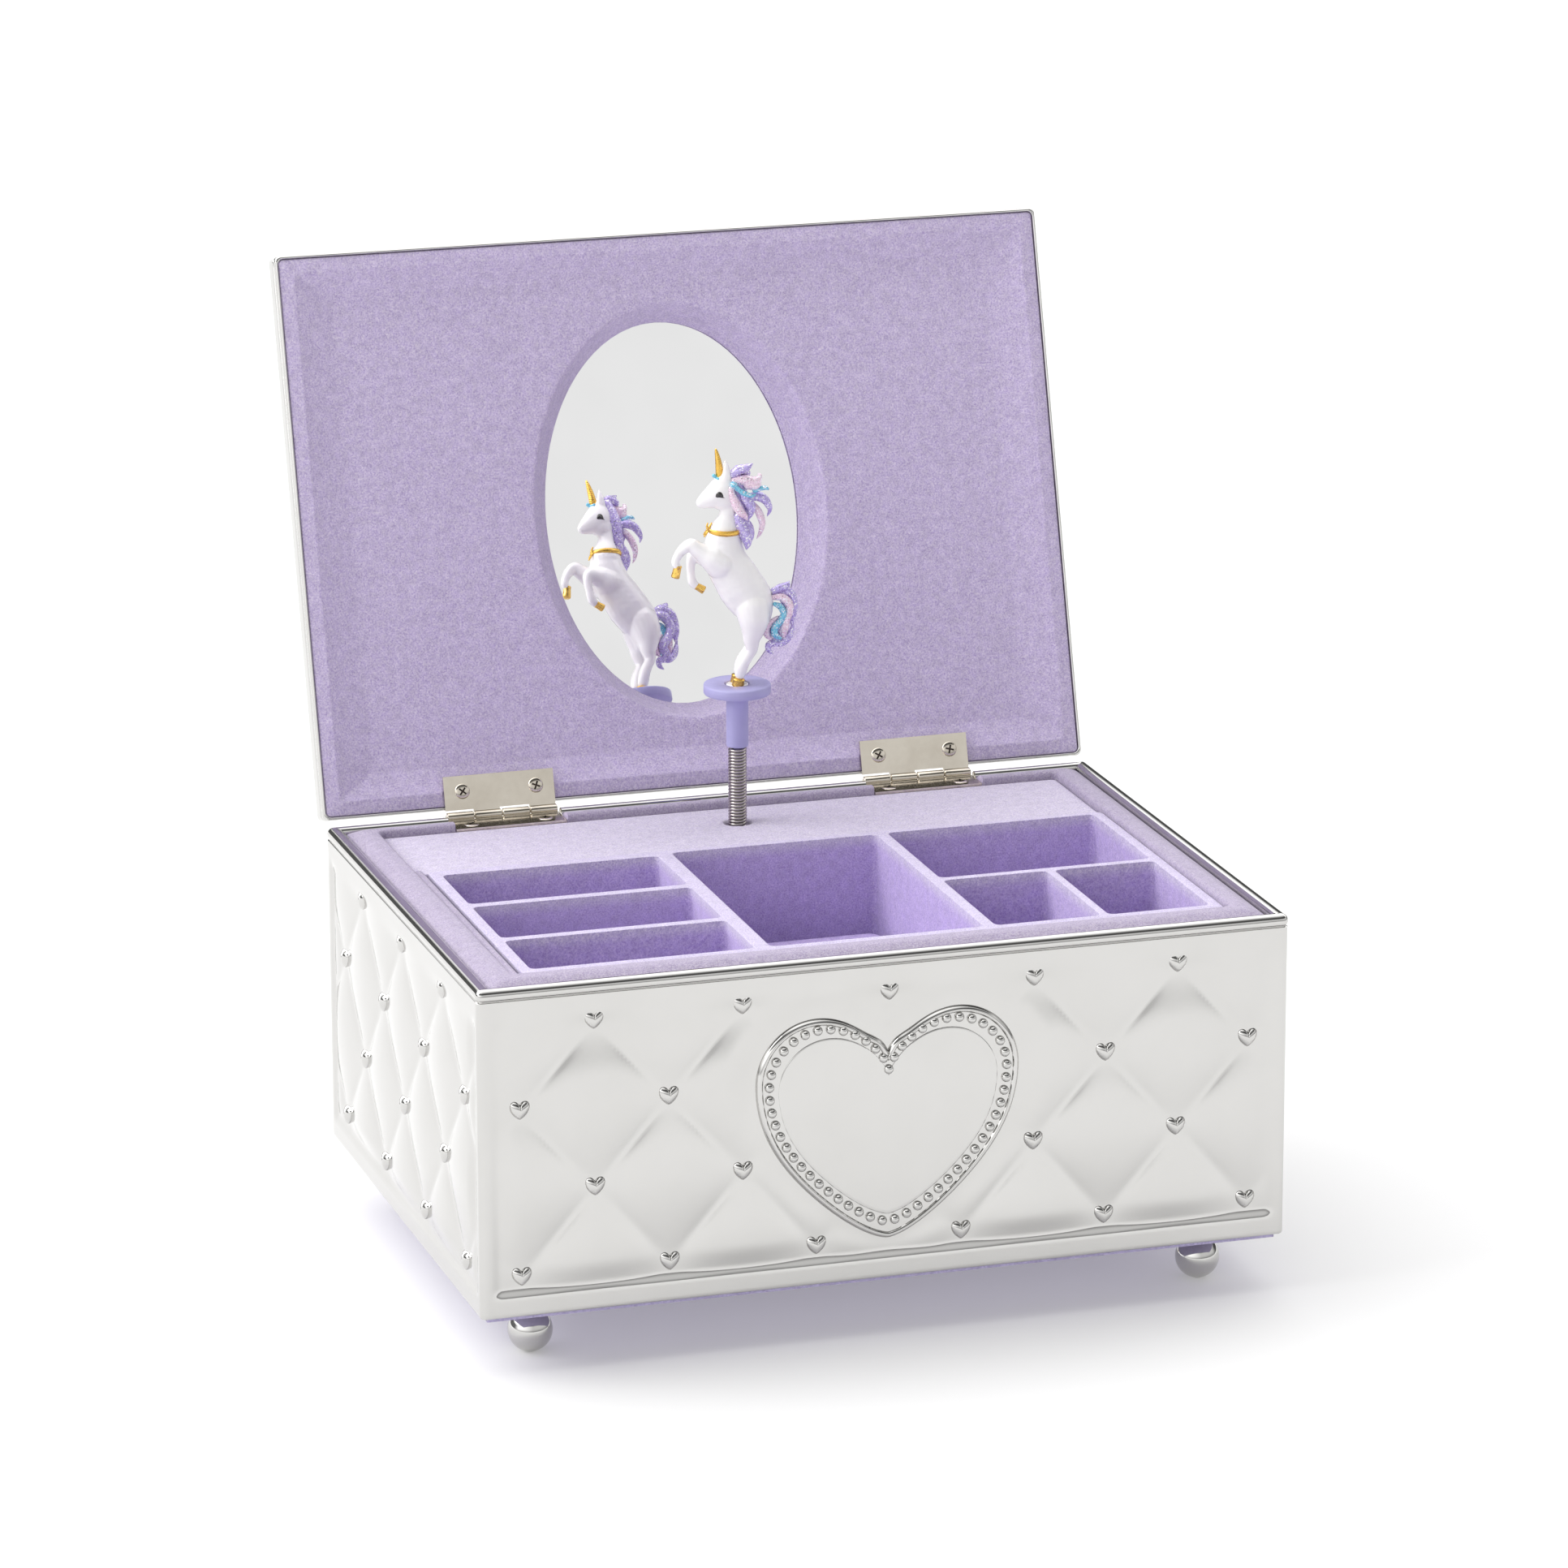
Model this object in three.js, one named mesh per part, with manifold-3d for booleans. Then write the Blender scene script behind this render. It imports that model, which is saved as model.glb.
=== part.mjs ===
// Wind-up music box with a rearing unicorn on a spring, millimetres, +Z up.
// The box body is centred on the origin, its feet stand on z = 0, its front looks along -Y.
import * as THREE from 'three';
import { ConvexGeometry } from 'three/addons/geometries/ConvexGeometry.js';
import { mergeVertices } from 'three/addons/utils/BufferGeometryUtils.js';
import Module from 'manifold-3d';

const wasm = await Module();
wasm.setup();

// body
const HX = 88.9;
const HY = 63.5;
const BODY_BOTTOM = 12.9;
const RIM_TOP = 84.4;
const SHEET = 1.4;
const FOOT_R = 4.8;
const FOOT_INSET = 14.3;
const GAP = 0.3;
const FLOOR_TOP = 18;
const BASE_LOW = 11.9;
const BASE_TOP = 14.6;
const WOOD_HX = 87.2;
const WOOD_HY = 61.8;
const PANEL = { low: 17.5, high: 78, depth: 0.5, hx: 86.3, hy: 60.9 };

// big heart on the front, its middle a little left of the box's
const HEART_X = -0.3;
const HEART_RING = { width: 57.1, height: 49.1, low: 21.9 };
const HEART_HOLLOW = { width: 53.6, height: 45.4, low: 23.9 };
const HEART_PLATE = { width: 48, height: 40, low: 26.4 };

// flocked top of the body
const OPEN_X = 79;
const OPEN_FRONT = -54.2;
// low lip of the lining along the left and the front of the opening
const LIP_LEFT = -76.7;
const LIP_FRONT = -52.4;
const LIP_BACK = 25.4;
const LIP_TOP = 83.9;
const OPEN_BACK = 55.7;
const LEDGE_TOP = 84.7;
const DECK_TOP = 83;
const DECK_FRONT = 25.8;
const HOLE_R = 2.95;
const TRAY = { x0: -76, x1: 78.7, y0: -51.9, y1: 25.4, z0: 57.9, z1: 83.5 };
const WELL_FLOOR = 59.9;
// x and y limits of the seven compartments, seen from above
const WELLS = [
  [-73.5, -25, -0.3, 22.2],
  [-73.5, -25, -26, -2.7],
  [-73.5, -25, -49, -28.3],
  [-21.5, 25.5, -49, 23.5],
  [28.2, 76.4, -12.4, 23.9],
  [28.2, 51.8, -49, -14.4],
  [53.6, 76.4, -49, -14.4],
];

// hinges
const HINGES = { left: -48.6, right: 48.6 };
const LEAF_HALF = 12.65;
const LEAF_BACK = 62.7;
const KNUCKLE = 6.1;
const KNUCKLE_PITCH = 6.4;
const KNUCKLE_R = 1.1;
const PIN_R = 0.45;
const SCREW_X = 8.45;
const SCREW_Y = 58.6;
const SCREW_HEAD_R = 1.7;
const PIN_Y = 64.2;
const PIN_Z = 83.7;

// lid, measured as if closed
const LID_LOW = 84.8;
const LID_HY = 62.6;
const LID_EDGE = 90.4;
const LID_POCKET_Y = 54.8;
const MIRROR_Z = 95.6;
const OVAL_OUT = [33.9, 46.4];
const OVAL_IN = [29.2, 42.8];
const OPEN_DEG = 106.5;

// figure and movement
const SPIN_Y = 44;
const SPINDLE_R = 2;
const PEG_R = 0.85;
const SPRING_LOW = 75.2;
const SPRING_R = 1.63;
const WIRE_R = 0.4;
const COIL_TURNS = 23;
const STEM_LOW = 100.6;
const STEM_R = 2.47;
const DISC_LOW = 112.5;
const DISC_TOP = 114.8;
const DISC_R = 7.45;
const PLUG_R = 2.3;
const FIGURE_TURN = -15;
const DRUM_Z = 42.8;
const CROWN_R = 10;
const CROWN_TEETH = 20;
const GOV_Y = 47.1;
const GOV_Z = 31.1;

const FINISH = {
  silver: { color: 0xe9e7e3, metalness: 1, roughness: 0.12 },
  board: { color: 0xa98f6c, metalness: 0, roughness: 0.8 },
  felt: { color: 0xc9bde4, metalness: 0, roughness: 1 },
  flock: { color: 0xcdc3ea, metalness: 0, roughness: 1 },
  nickel: { color: 0xcfc7b8, metalness: 1, roughness: 0.25 },
  steel: { color: 0x8d8884, metalness: 1, roughness: 0.3 },
  brass: { color: 0xc9a24e, metalness: 1, roughness: 0.3 },
  mirror: { color: 0xf2f4f5, metalness: 1, roughness: 0.02 },
  plastic: { color: 0xb4b0e6, metalness: 0, roughness: 0.45 },
  white: { color: 0xf8f6f4, metalness: 0, roughness: 0.25 },
  gold: { color: 0xd9a237, metalness: 1, roughness: 0.35 },
  glitter: { color: 0xb79fdc, metalness: 0.2, roughness: 0.45 },
};

// ---- groups and meshes ------------------------------------------------

const radians = THREE.MathUtils.degToRad;

function group(parent, position = [0, 0, 0], rotation = [0, 0, 0]) {
  const made = new THREE.Group();
  made.position.set(...position);
  made.rotation.set(...rotation);
  parent.add(made);
  return made;
}

const part = new THREE.Group();
part.name = 'wind_up_music_box';
const body = group(part);
const movement = group(part, [0, SPIN_Y, 0]);
const figure = group(part, [0, SPIN_Y, DISC_TOP], [0, 0, radians(FIGURE_TURN)]);
// the lid's pieces are measured closed and swing open about the hinge pins
const lidSwing = group(part, [0, PIN_Y, PIN_Z], [-radians(OPEN_DEG), 0, 0]);
const lid = group(lidSwing, [0, -PIN_Y, -PIN_Z]);

function addMesh(parent, name, finish, geometry, position = [0, 0, 0]) {
  geometry.computeVertexNormals();
  const mesh = new THREE.Mesh(geometry, new THREE.MeshStandardMaterial(FINISH[finish]));
  mesh.name = name;
  mesh.position.set(...position);
  parent.add(mesh);
}

// a joined or cut solid back to three.js geometry
function geometryOf(solid) {
  const made = solid.getMesh();
  const stride = made.numProp;
  const count = made.vertProperties.length / stride;
  const points = new Float32Array(count * 3);
  for (let i = 0; i < count; i += 1) {
    for (let k = 0; k < 3; k += 1) {
      points[i * 3 + k] = made.vertProperties[i * stride + k];
    }
  }
  const geometry = new THREE.BufferGeometry();
  geometry.setAttribute('position', new THREE.BufferAttribute(points, 3));
  geometry.setIndex(new THREE.BufferAttribute(new Uint32Array(made.triVerts), 1));
  return geometry;
}

function addSolid(parent, name, finish, solid, position) {
  addMesh(parent, name, finish, geometryOf(solid), position);
}

// ---- basic shapes -----------------------------------------------------

// a closed geometry as a solid that can be joined and cut
function solidOf(geometry) {
  geometry.deleteAttribute('normal');
  geometry.deleteAttribute('uv');
  const merged = mergeVertices(geometry, 1e-4);
  const mesh = new wasm.Mesh({
    numProp: 3,
    vertProperties: Float32Array.from(merged.attributes.position.array),
    triVerts: Uint32Array.from(merged.index.array),
  });
  return new wasm.Manifold(mesh);
}

function joined(solids) {
  return solids.reduce((whole, next) => whole.add(next));
}

function boxShape(x0, x1, y0, y1, z0, z1) {
  const shape = new THREE.BoxGeometry(x1 - x0, y1 - y0, z1 - z0);
  return shape.translate((x0 + x1) / 2, (y0 + y1) / 2, (z0 + z1) / 2);
}

function box(...limits) {
  return solidOf(boxShape(...limits));
}

function slab(hx, hy, z0, z1) {
  return box(-hx, hx, -hy, hy, z0, z1);
}

// an upright round bar
function post(x, y, z0, z1, r, sides = 24, topR = r) {
  const shape = new THREE.CylinderGeometry(topR, r, z1 - z0, sides);
  shape.rotateX(Math.PI / 2);
  return solidOf(shape.translate(x, y, (z0 + z1) / 2));
}

// a round bar along X
function rod(x0, x1, y, z, r, sides = 20) {
  const shape = new THREE.CylinderGeometry(r, r, x1 - x0, sides);
  shape.rotateZ(Math.PI / 2);
  return solidOf(shape.translate((x0 + x1) / 2, y, z));
}

function hull(points) {
  return solidOf(new ConvexGeometry(points));
}

function rectangle(hx, hy, z) {
  const signs = [[-1, -1], [1, -1], [1, 1], [-1, 1]];
  return signs.map(([sx, sy]) => new THREE.Vector3(sx * hx, sy * hy, z));
}

// a stack of rectangles [half x, half y, z] stretched into one block
function stack(layers) {
  return hull(layers.flatMap(([hx, hy, z]) => rectangle(hx, hy, z)));
}

function ellipse(a, b, z, sides = 48) {
  const points = [];
  for (let i = 0; i < sides; i += 1) {
    const turn = (i / sides) * 2 * Math.PI;
    points.push(new THREE.Vector3(a * Math.cos(turn), b * Math.sin(turn), z));
  }
  return points;
}

function ovalBlock(low, z0, z1, high = low) {
  return hull([...ellipse(...low, z0), ...ellipse(...high, z1)]);
}

function roundedRectangle(width, height, r) {
  const shape = new THREE.Shape();
  const x = width / 2;
  const y = height / 2;
  shape.absarc(x - r, y - r, r, 0, Math.PI / 2);
  shape.absarc(r - x, y - r, r, Math.PI / 2, Math.PI);
  shape.absarc(r - x, r - y, r, Math.PI, Math.PI * 1.5);
  shape.absarc(x - r, r - y, r, Math.PI * 1.5, Math.PI * 2);
  return shape;
}

// heart outline with its tip at the bottom
function heartShape(width, height, steps = 40) {
  const points = [];
  for (let i = 0; i < steps; i += 1) {
    const t = (i / steps) * 2 * Math.PI;
    const power = Math.cos(t) > 0 ? 2.6 : 1.3;
    const x = Math.sign(Math.sin(t)) * Math.abs(Math.sin(t)) ** power;
    const y = (13 * Math.cos(t) - 5 * Math.cos(2 * t) - 2 * Math.cos(3 * t) - Math.cos(4 * t)) / 29;
    points.push(new THREE.Vector2((x * width) / 2, (y + 0.59) * height));
  }
  return new THREE.Shape(points);
}

function extruded(shape, depth, curveSegments = 4) {
  return new THREE.ExtrudeGeometry(shape, { depth, bevelEnabled: false, curveSegments });
}

// an upright heart between two depths of the front
function heartBlock({ width, height, low }, y0, y1) {
  const shape = extruded(heartShape(width, height), y1 - y0);
  shape.rotateX(Math.PI / 2);
  return solidOf(shape.translate(HEART_X, y1, low));
}

// ---- body -------------------------------------------------------------

function hingePockets(y0, z0, z1) {
  const reach = LEAF_HALF + GAP;
  const places = Object.values(HINGES);
  return joined(places.map((x) => box(x - reach, x + reach, y0, 66, z0, z1)));
}

function screwHoles(z0, z1) {
  const holes = [];
  for (const x of Object.values(HINGES)) {
    for (const side of [-1, 1]) {
      holes.push(post(x + side * SCREW_X, SCREW_Y, z0, z1, 1.3, 12));
    }
  }
  return joined(holes);
}

// the shallow recess that frames each wall, as two cutters for opposite walls
function panelRecesses() {
  const { low, high, depth, hx, hy } = PANEL;
  const cuts = [];
  for (const side of [-1, 1]) {
    const y = [side * (HY - depth), side * (HY + 1)].sort((a, b) => a - b);
    const x = [side * (HX - depth), side * (HX + 1)].sort((a, b) => a - b);
    cuts.push(box(-hx, hx, ...y, low, high));
    cuts.push(box(...x, -hy, hy, low, high));
  }
  return joined(cuts);
}

function caseShell() {
  let shell = slab(HX, HY, BODY_BOTTOM, RIM_TOP);
  shell = shell.subtract(slab(HX - SHEET, HY - SHEET, 0, 82.1));
  shell = shell.subtract(slab(85.6, 61, 80, 90));
  shell = shell.subtract(panelRecesses());
  shell = shell.add(heartBlock(HEART_RING, -64.4, -62.6));
  shell = shell.subtract(heartBlock(HEART_HOLLOW, -66, -63.05));
  return shell.subtract(hingePockets(55.4, 82.3, 90));
}

function carcass() {
  let wood = slab(WOOD_HX, WOOD_HY, 14.9, 81.5);
  wood = wood.subtract(box(-83.2, 83.2, -57.8, 56, FLOOR_TOP, 90));
  for (const side of [-1, 1]) {
    const rail = side * 80;
    wood = wood.add(box(rail - 3.3, rail + 3.3, -57.9, 25, 50, 57.6));
  }
  wood = wood.subtract(screwHoles(70, 90));
  return wood.subtract(post(0, SPIN_Y, 0, 20, 4.2));
}

function basePlate() {
  const plate = slab(WOOD_HX, WOOD_HY, BASE_LOW, BASE_TOP);
  return plate.subtract(post(0, SPIN_Y, 0, 20, 4.2));
}

// a ball on a short neck, turned about its own axis
function footGeometry() {
  const neckR = 2.6;
  const steps = 10;
  const neckTurn = Math.PI - Math.asin(neckR / FOOT_R);
  const profile = [];
  for (let i = 0; i <= steps; i += 1) {
    const turn = (i / steps) * neckTurn;
    profile.push(new THREE.Vector2(FOOT_R * Math.sin(turn), FOOT_R - FOOT_R * Math.cos(turn)));
  }
  profile.push(new THREE.Vector2(neckR, BASE_LOW - GAP));
  profile.push(new THREE.Vector2(0, BASE_LOW - GAP));
  const shape = new THREE.LatheGeometry(profile, 24);
  return mergedLathe(shape.rotateX(Math.PI / 2));
}

// a lathe's seam and axis points merged, so that it is one closed body
function mergedLathe(shape) {
  return geometryOf(solidOf(shape));
}

function ledgeFrame() {
  let frame = slab(85.3, 60.7, 81.8, 83.6);
  frame = frame.add(stack([[85.3, 60.7, 83.6], [84.1, 59.5, LEDGE_TOP]]));
  frame = frame.subtract(box(-OPEN_X, OPEN_X, OPEN_FRONT, OPEN_BACK, LIP_TOP, 90));
  frame = frame.subtract(box(LIP_LEFT, OPEN_X, LIP_FRONT, LIP_BACK, 80, 90));
  frame = frame.subtract(box(-OPEN_X, OPEN_X, LIP_BACK - 0.1, OPEN_BACK, 80, 90));
  frame = frame.subtract(hingePockets(55.4, 82.5, 90));
  return frame.subtract(screwHoles(80, 90));
}

function rearDeck() {
  const deck = box(-78.7, 78.7, DECK_FRONT, 55.4, 80.5, DECK_TOP);
  return deck.subtract(post(0, SPIN_Y, 70, 90, HOLE_R));
}

function tray() {
  const block = box(TRAY.x0, TRAY.x1, TRAY.y0, TRAY.y1, TRAY.z0, TRAY.z1);
  return block.subtract(joined(WELLS.map((limits) => box(...limits, WELL_FLOOR, 90))));
}

function buildFeet() {
  const x = HX - FOOT_INSET;
  const y = HY - FOOT_INSET;
  const spots = {
    front_left: [-x, -y], front_right: [x, -y], back_right: [x, y], back_left: [-x, y],
  };
  for (const [name, spot] of Object.entries(spots)) {
    addMesh(body, `foot_${name}`, 'silver', footGeometry(), [...spot, 0]);
  }
}

function buildBody() {
  addSolid(body, 'case_shell', 'silver', caseShell());
  addSolid(body, 'case_carcass', 'board', carcass());
  addSolid(body, 'base_plate', 'felt', basePlate());
  buildFeet();
  addSolid(body, 'ledge_frame', 'flock', ledgeFrame());
  addMesh(body, 'movement_partition', 'board', boxShape(-82.9, 82.9, 26.2, 29.2, 18.3, 80.2));
  addSolid(body, 'rear_deck', 'flock', rearDeck());
  addSolid(body, 'tray', 'flock', tray());
  const step = extruded(roundedRectangle(42.4, 62.2, 2), 3.8);
  addMesh(body, 'tray_centre_step', 'flock', step, [2, -15.6, WELL_FLOOR + GAP]);
  addSolid(body, 'heart_plate', 'silver', heartBlock(HEART_PLATE, -63.9, -63.35));
}

// ---- hinges -----------------------------------------------------------

// a leaf and its two knuckles, the other leaf's knuckles between them
function leaf(first, y0, z0, z1) {
  let plate = box(-LEAF_HALF, LEAF_HALF, y0, LEAF_BACK, z0, z1);
  for (let i = first; i < 4; i += 2) {
    const x = -LEAF_HALF + i * KNUCKLE_PITCH;
    plate = plate.add(box(x, x + KNUCKLE, LEAF_BACK - 0.7, PIN_Y, z0, z1));
    plate = plate.add(rod(x, x + KNUCKLE, PIN_Y, PIN_Z, KNUCKLE_R));
  }
  plate = plate.subtract(rod(-20, 20, PIN_Y, PIN_Z, PIN_R + GAP));
  for (const side of [-1, 1]) {
    plate = plate.subtract(post(side * SCREW_X, SCREW_Y, 70, 90, SCREW_HEAD_R + GAP, 20));
  }
  return plate;
}

// a cross-head screw with the top of its head at z = 0; up is 1, or -1 for head down
function screw(length, up) {
  const cone = [
    new THREE.Vector2(0, -length), new THREE.Vector2(1, -length), new THREE.Vector2(1, -0.8),
    new THREE.Vector2(SCREW_HEAD_R, 0), new THREE.Vector2(0, 0),
  ];
  const shape = new THREE.LatheGeometry(cone, 20);
  let made = solidOf(shape.rotateX((up * Math.PI) / 2));
  const slot = [-0.4, 1].map((z) => z * up).sort((a, b) => a - b);
  made = made.subtract(box(-1, 1, -0.2, 0.2, ...slot));
  return made.subtract(box(-0.2, 0.2, -1, 1, ...slot));
}

function buildHinges() {
  for (const [side, x] of Object.entries(HINGES)) {
    const name = `hinge_${side}`;
    addSolid(body, `${name}_case_leaf`, 'nickel', leaf(0, 55.7, 82.8, 83.45), [x, 0, 0]);
    addSolid(lid, `${name}_lid_leaf`, 'nickel', leaf(1, 55.1, 84.1, 84.75), [x, 0, 0]);
    const pin = rod(-LEAF_HALF, LEAF_HALF, 0, 0, PIN_R, 12);
    addSolid(body, `${name}_pin`, 'nickel', pin, [x, PIN_Y, PIN_Z]);
    for (const [number, along] of [[1, -SCREW_X], [2, SCREW_X]]) {
      const low = [x + along, SCREW_Y, 83.65];
      const high = [x + along, SCREW_Y, 83.95];
      addSolid(body, `${name}_case_screw_${number}`, 'nickel', screw(6, 1), low);
      addSolid(lid, `${name}_lid_screw_${number}`, 'nickel', screw(4, -1), high);
    }
  }
}

// ---- lid --------------------------------------------------------------

function lidShell() {
  const outer = stack([
    [HX, LID_HY, LID_LOW], [HX, LID_HY, LID_EDGE], [87.4, 61.1, 92.6], [84.2, 57.9, 95],
    [78.5, 52.2, 97.6], [69, 42.7, 99.9], [56, 29.7, 101.3],
  ]);
  const inner = stack([
    [87.5, 61.2, 86.2], [87.5, 61.2, 90.2], [86.1, 59.8, 92], [82.9, 56.6, 94.2],
    [77.3, 51, 96.6], [67.9, 41.6, 98.7], [55.5, 29.2, 99.9],
  ]);
  let shell = outer.subtract(inner);
  shell = shell.subtract(slab(85.6, 59.4, 80, 88));
  shell = shell.subtract(screwHoles(80, 88.6));
  return shell.subtract(hingePockets(LID_POCKET_Y, 80, 85.05));
}

// the flocked tray of the lid, with the oval opening over the mirror
function lidLiner() {
  let liner = slab(85.3, 59.1, LID_LOW, 89.7);
  liner = liner.subtract(stack([[85, 58.8, LID_LOW - 0.3], [76.6, 53.1, 87.3]]));
  liner = liner.add(ovalBlock([37, 49.4], 88, 95.3));
  liner = liner.subtract(ovalBlock(OVAL_OUT, 87.2, 95.4, OVAL_IN));
  liner = liner.subtract(hingePockets(LID_POCKET_Y, 80, 85.05));
  return liner.subtract(screwHoles(80, 88.6));
}

function buildLid() {
  addSolid(lid, 'lid_shell', 'silver', lidShell());
  addSolid(lid, 'lid_liner', 'flock', lidLiner());
  addSolid(lid, 'lid_mirror', 'mirror', ovalBlock([33.5, 46.2], MIRROR_Z, 96.9));
  addMesh(lid, 'lid_backing_board', 'board', boxShape(-58, 58, -38, 38, 97.2, 98.4));
}

// ---- movement, its pieces measured from the spindle's axis ------------

const DRUM = [0, 0, DRUM_Z];
const GOVERNOR = [0, GOV_Y - SPIN_Y, GOV_Z];

// a spur gear round the X axis; phase is the first tooth's angle from +Y towards +Z
function gear(x0, x1, { teeth, pitchR, addendum, thick, phase }) {
  const root = pitchR - addendum - 0.15;
  const tip = pitchR + addendum;
  const points = [];
  for (let i = 0; i < teeth; i += 1) {
    const turn = radians(phase) + (i / teeth) * 2 * Math.PI;
    const flank = [[root, -0.62], [tip, -0.32], [tip, 0.32], [root, 0.62]];
    for (const [reach, side] of flank) {
      const point = new THREE.Vector2(reach, side * thick);
      points.push(point.rotateAround(new THREE.Vector2(), turn));
    }
  }
  // the outline lies in the YZ plane and is pushed out along X
  const shape = extruded(new THREE.Shape(points), x1 - x0);
  shape.rotateZ(Math.PI / 2).rotateY(Math.PI / 2);
  return solidOf(shape.translate(x0, 0, 0));
}

function movementFrame() {
  let frame = box(-30, 44, -13, 11.6, 18.3, 20.3);
  frame = frame.add(box(14, 15.4, -4, 11.6, 20, 46));
  frame = frame.add(box(40, 41.4, -4, 11.6, 20, 46));
  frame = frame.add(box(-22, -19, -6, 6, 20, 54));
  frame = frame.add(box(-22, 5, -6, 6, 52, 54));
  frame = frame.add(box(16.6, 36.6, -13, -9.4, 20, 41.4));
  frame = frame.subtract(rod(10, 45, 0, DRUM_Z, 1.3));
  frame = frame.subtract(rod(12, 45, GOVERNOR[1], GOV_Z, 1.1));
  frame = frame.subtract(post(0, 0, 10, 22, 2.8));
  return frame.subtract(post(0, 0, 50, 60, 2.35));
}

function comb() {
  const tines = 18;
  const pitch = 20 / tines;
  let plate = box(16.6, 36.6, -13, -7.3, 41.7, 42.7);
  for (let i = 1; i < tines; i += 1) {
    const x = 16.6 + i * pitch;
    plate = plate.subtract(box(x - 0.15, x + 0.15, -10.4, -4, 40, 45));
  }
  return plate;
}

// the spring barrel with its crown of teeth, the spindle and the peg that holds the coil
function barrel() {
  let made = post(0, 0, 24, 36, 11.5, 48);
  made = made.add(post(0, 0, 35, 40, 3.2));
  made = made.add(post(0, 0, 39, 74.4, SPINDLE_R, 20));
  made = made.add(post(0, 0, 74, 82, PEG_R, 12));
  for (let i = 0; i < CROWN_TEETH; i += 1) {
    const turn = ((i + 0.5) / CROWN_TEETH) * 2 * Math.PI;
    const root = [[CROWN_R - 1.4, 0.55, 35.9], [CROWN_R + 1, 0.55, 35.9]];
    const crest = [[CROWN_R - 1.4, 0.3, 37.4], [CROWN_R + 1, 0.3, 37.4]];
    const points = [...root, ...crest].flatMap(([x, y, z]) => {
      return [new THREE.Vector3(x, y, z), new THREE.Vector3(x, -y, z)];
    });
    const tooth = new ConvexGeometry(points);
    made = made.add(solidOf(tooth.rotateZ(turn)));
  }
  return made.subtract(post(0, 0, 20, 33, 2.8));
}

// the pinned cylinder with a pinion on one end and the governor's wheel on the other
function drum() {
  const pinion = { teeth: 12, pitchR: 6, addendum: 0.65, thick: 1, phase: -90 };
  const wheel = { teeth: 24, pitchR: 9, addendum: 0.5, thick: 0.85, phase: -75 };
  let made = rod(16.2, 37.2, 0, 0, 6.5, 32);
  made = made.add(rod(8.2, 42.6, 0, 0, 1, 16));
  made = made.add(gear(9, 11, pinion));
  made = made.add(gear(37.6, 39.2, wheel));
  made = made.add(rod(37, 38, 0, 0, 5, 24));
  for (let track = 0; track < 17; track += 1) {
    for (let note = 0; note < 2; note += 1) {
      const x = 17.6 + track * 1.15;
      const pin = boxShape(x - 0.2, x + 0.2, 6.3, 6.9, -0.2, 0.2);
      made = made.add(solidOf(pin.rotateX(radians(track * 97 + note * 160))));
    }
  }
  return made;
}

function governor() {
  const pinion = { teeth: 8, pitchR: 3, addendum: 0.45, thick: 0.8, phase: 127.5 };
  let made = rod(12.8, 42.6, 0, 0, 0.8, 12);
  made = made.add(gear(37.6, 39.2, pinion));
  return made.add(box(21, 33, -0.3, 0.3, -4, 4));
}

// a butterfly key on its shaft, below the base
function windingKey() {
  const wings = new THREE.Shape();
  const bar = 2.5;
  const wingR = 4.6;
  const wingX = 6.2;
  const open = Math.asin(bar / wingR);
  wings.absarc(wingX, 0, wingR, open - Math.PI, Math.PI - open);
  wings.absarc(-wingX, 0, wingR, open, 2 * Math.PI - open);
  for (const side of [-1, 1]) {
    const eye = new THREE.Path();
    eye.absarc(side * 6.6, 0, 2, 0, 2 * Math.PI);
    wings.holes.push(eye);
  }
  const flat = extruded(wings, 1.8, 12).rotateX(Math.PI / 2);
  const grip = solidOf(flat.translate(0, 0.9, 6.4));
  return post(0, 0, 2.2, 32, PLUG_R, 20).add(grip);
}

function buildMovement() {
  addSolid(movement, 'movement_frame', 'steel', movementFrame());
  addSolid(movement, 'music_comb', 'steel', comb());
  addSolid(movement, 'mainspring_barrel', 'brass', barrel());
  addSolid(movement, 'music_cylinder', 'brass', drum(), DRUM);
  addSolid(movement, 'governor', 'steel', governor(), GOVERNOR);
  addSolid(movement, 'winding_key', 'brass', windingKey());
}

// ---- spring and turntable ---------------------------------------------

class Coil extends THREE.Curve {
  getPoint(t, target = new THREE.Vector3()) {
    const turn = t * COIL_TURNS * 2 * Math.PI;
    const rise = STEM_LOW - GAP - 0.45 - SPRING_LOW;
    return target.set(SPRING_R * Math.cos(turn), SPRING_R * Math.sin(turn), SPRING_LOW + t * rise);
  }
}

function springGeometry() {
  const wire = new THREE.Shape();
  const sides = 5;
  for (let i = 0; i < sides; i += 1) {
    const turn = (i / sides) * 2 * Math.PI;
    const go = i === 0 ? 'moveTo' : 'lineTo';
    wire[go](WIRE_R * Math.cos(turn), WIRE_R * Math.sin(turn));
  }
  const steps = COIL_TURNS * 8;
  const path = new Coil();
  return new THREE.ExtrudeGeometry(wire, { extrudePath: path, steps, bevelEnabled: false });
}

function turntable() {
  let made = post(0, 0, STEM_LOW, DISC_LOW + 0.2, STEM_R, 32);
  made = made.add(post(0, 0, DISC_LOW, DISC_TOP, DISC_R, 40));
  made = made.add(post(0, 0, 95.4, STEM_LOW + 0.2, PEG_R, 12));
  return made.subtract(post(0, 0, DISC_TOP - 1.5, 120, PLUG_R + 0.35, 32));
}

function buildTurntable() {
  addMesh(movement, 'figure_spring', 'steel', springGeometry());
  addSolid(movement, 'turntable_disc', 'plastic', turntable());
}

// ---- figure -----------------------------------------------------------

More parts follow.
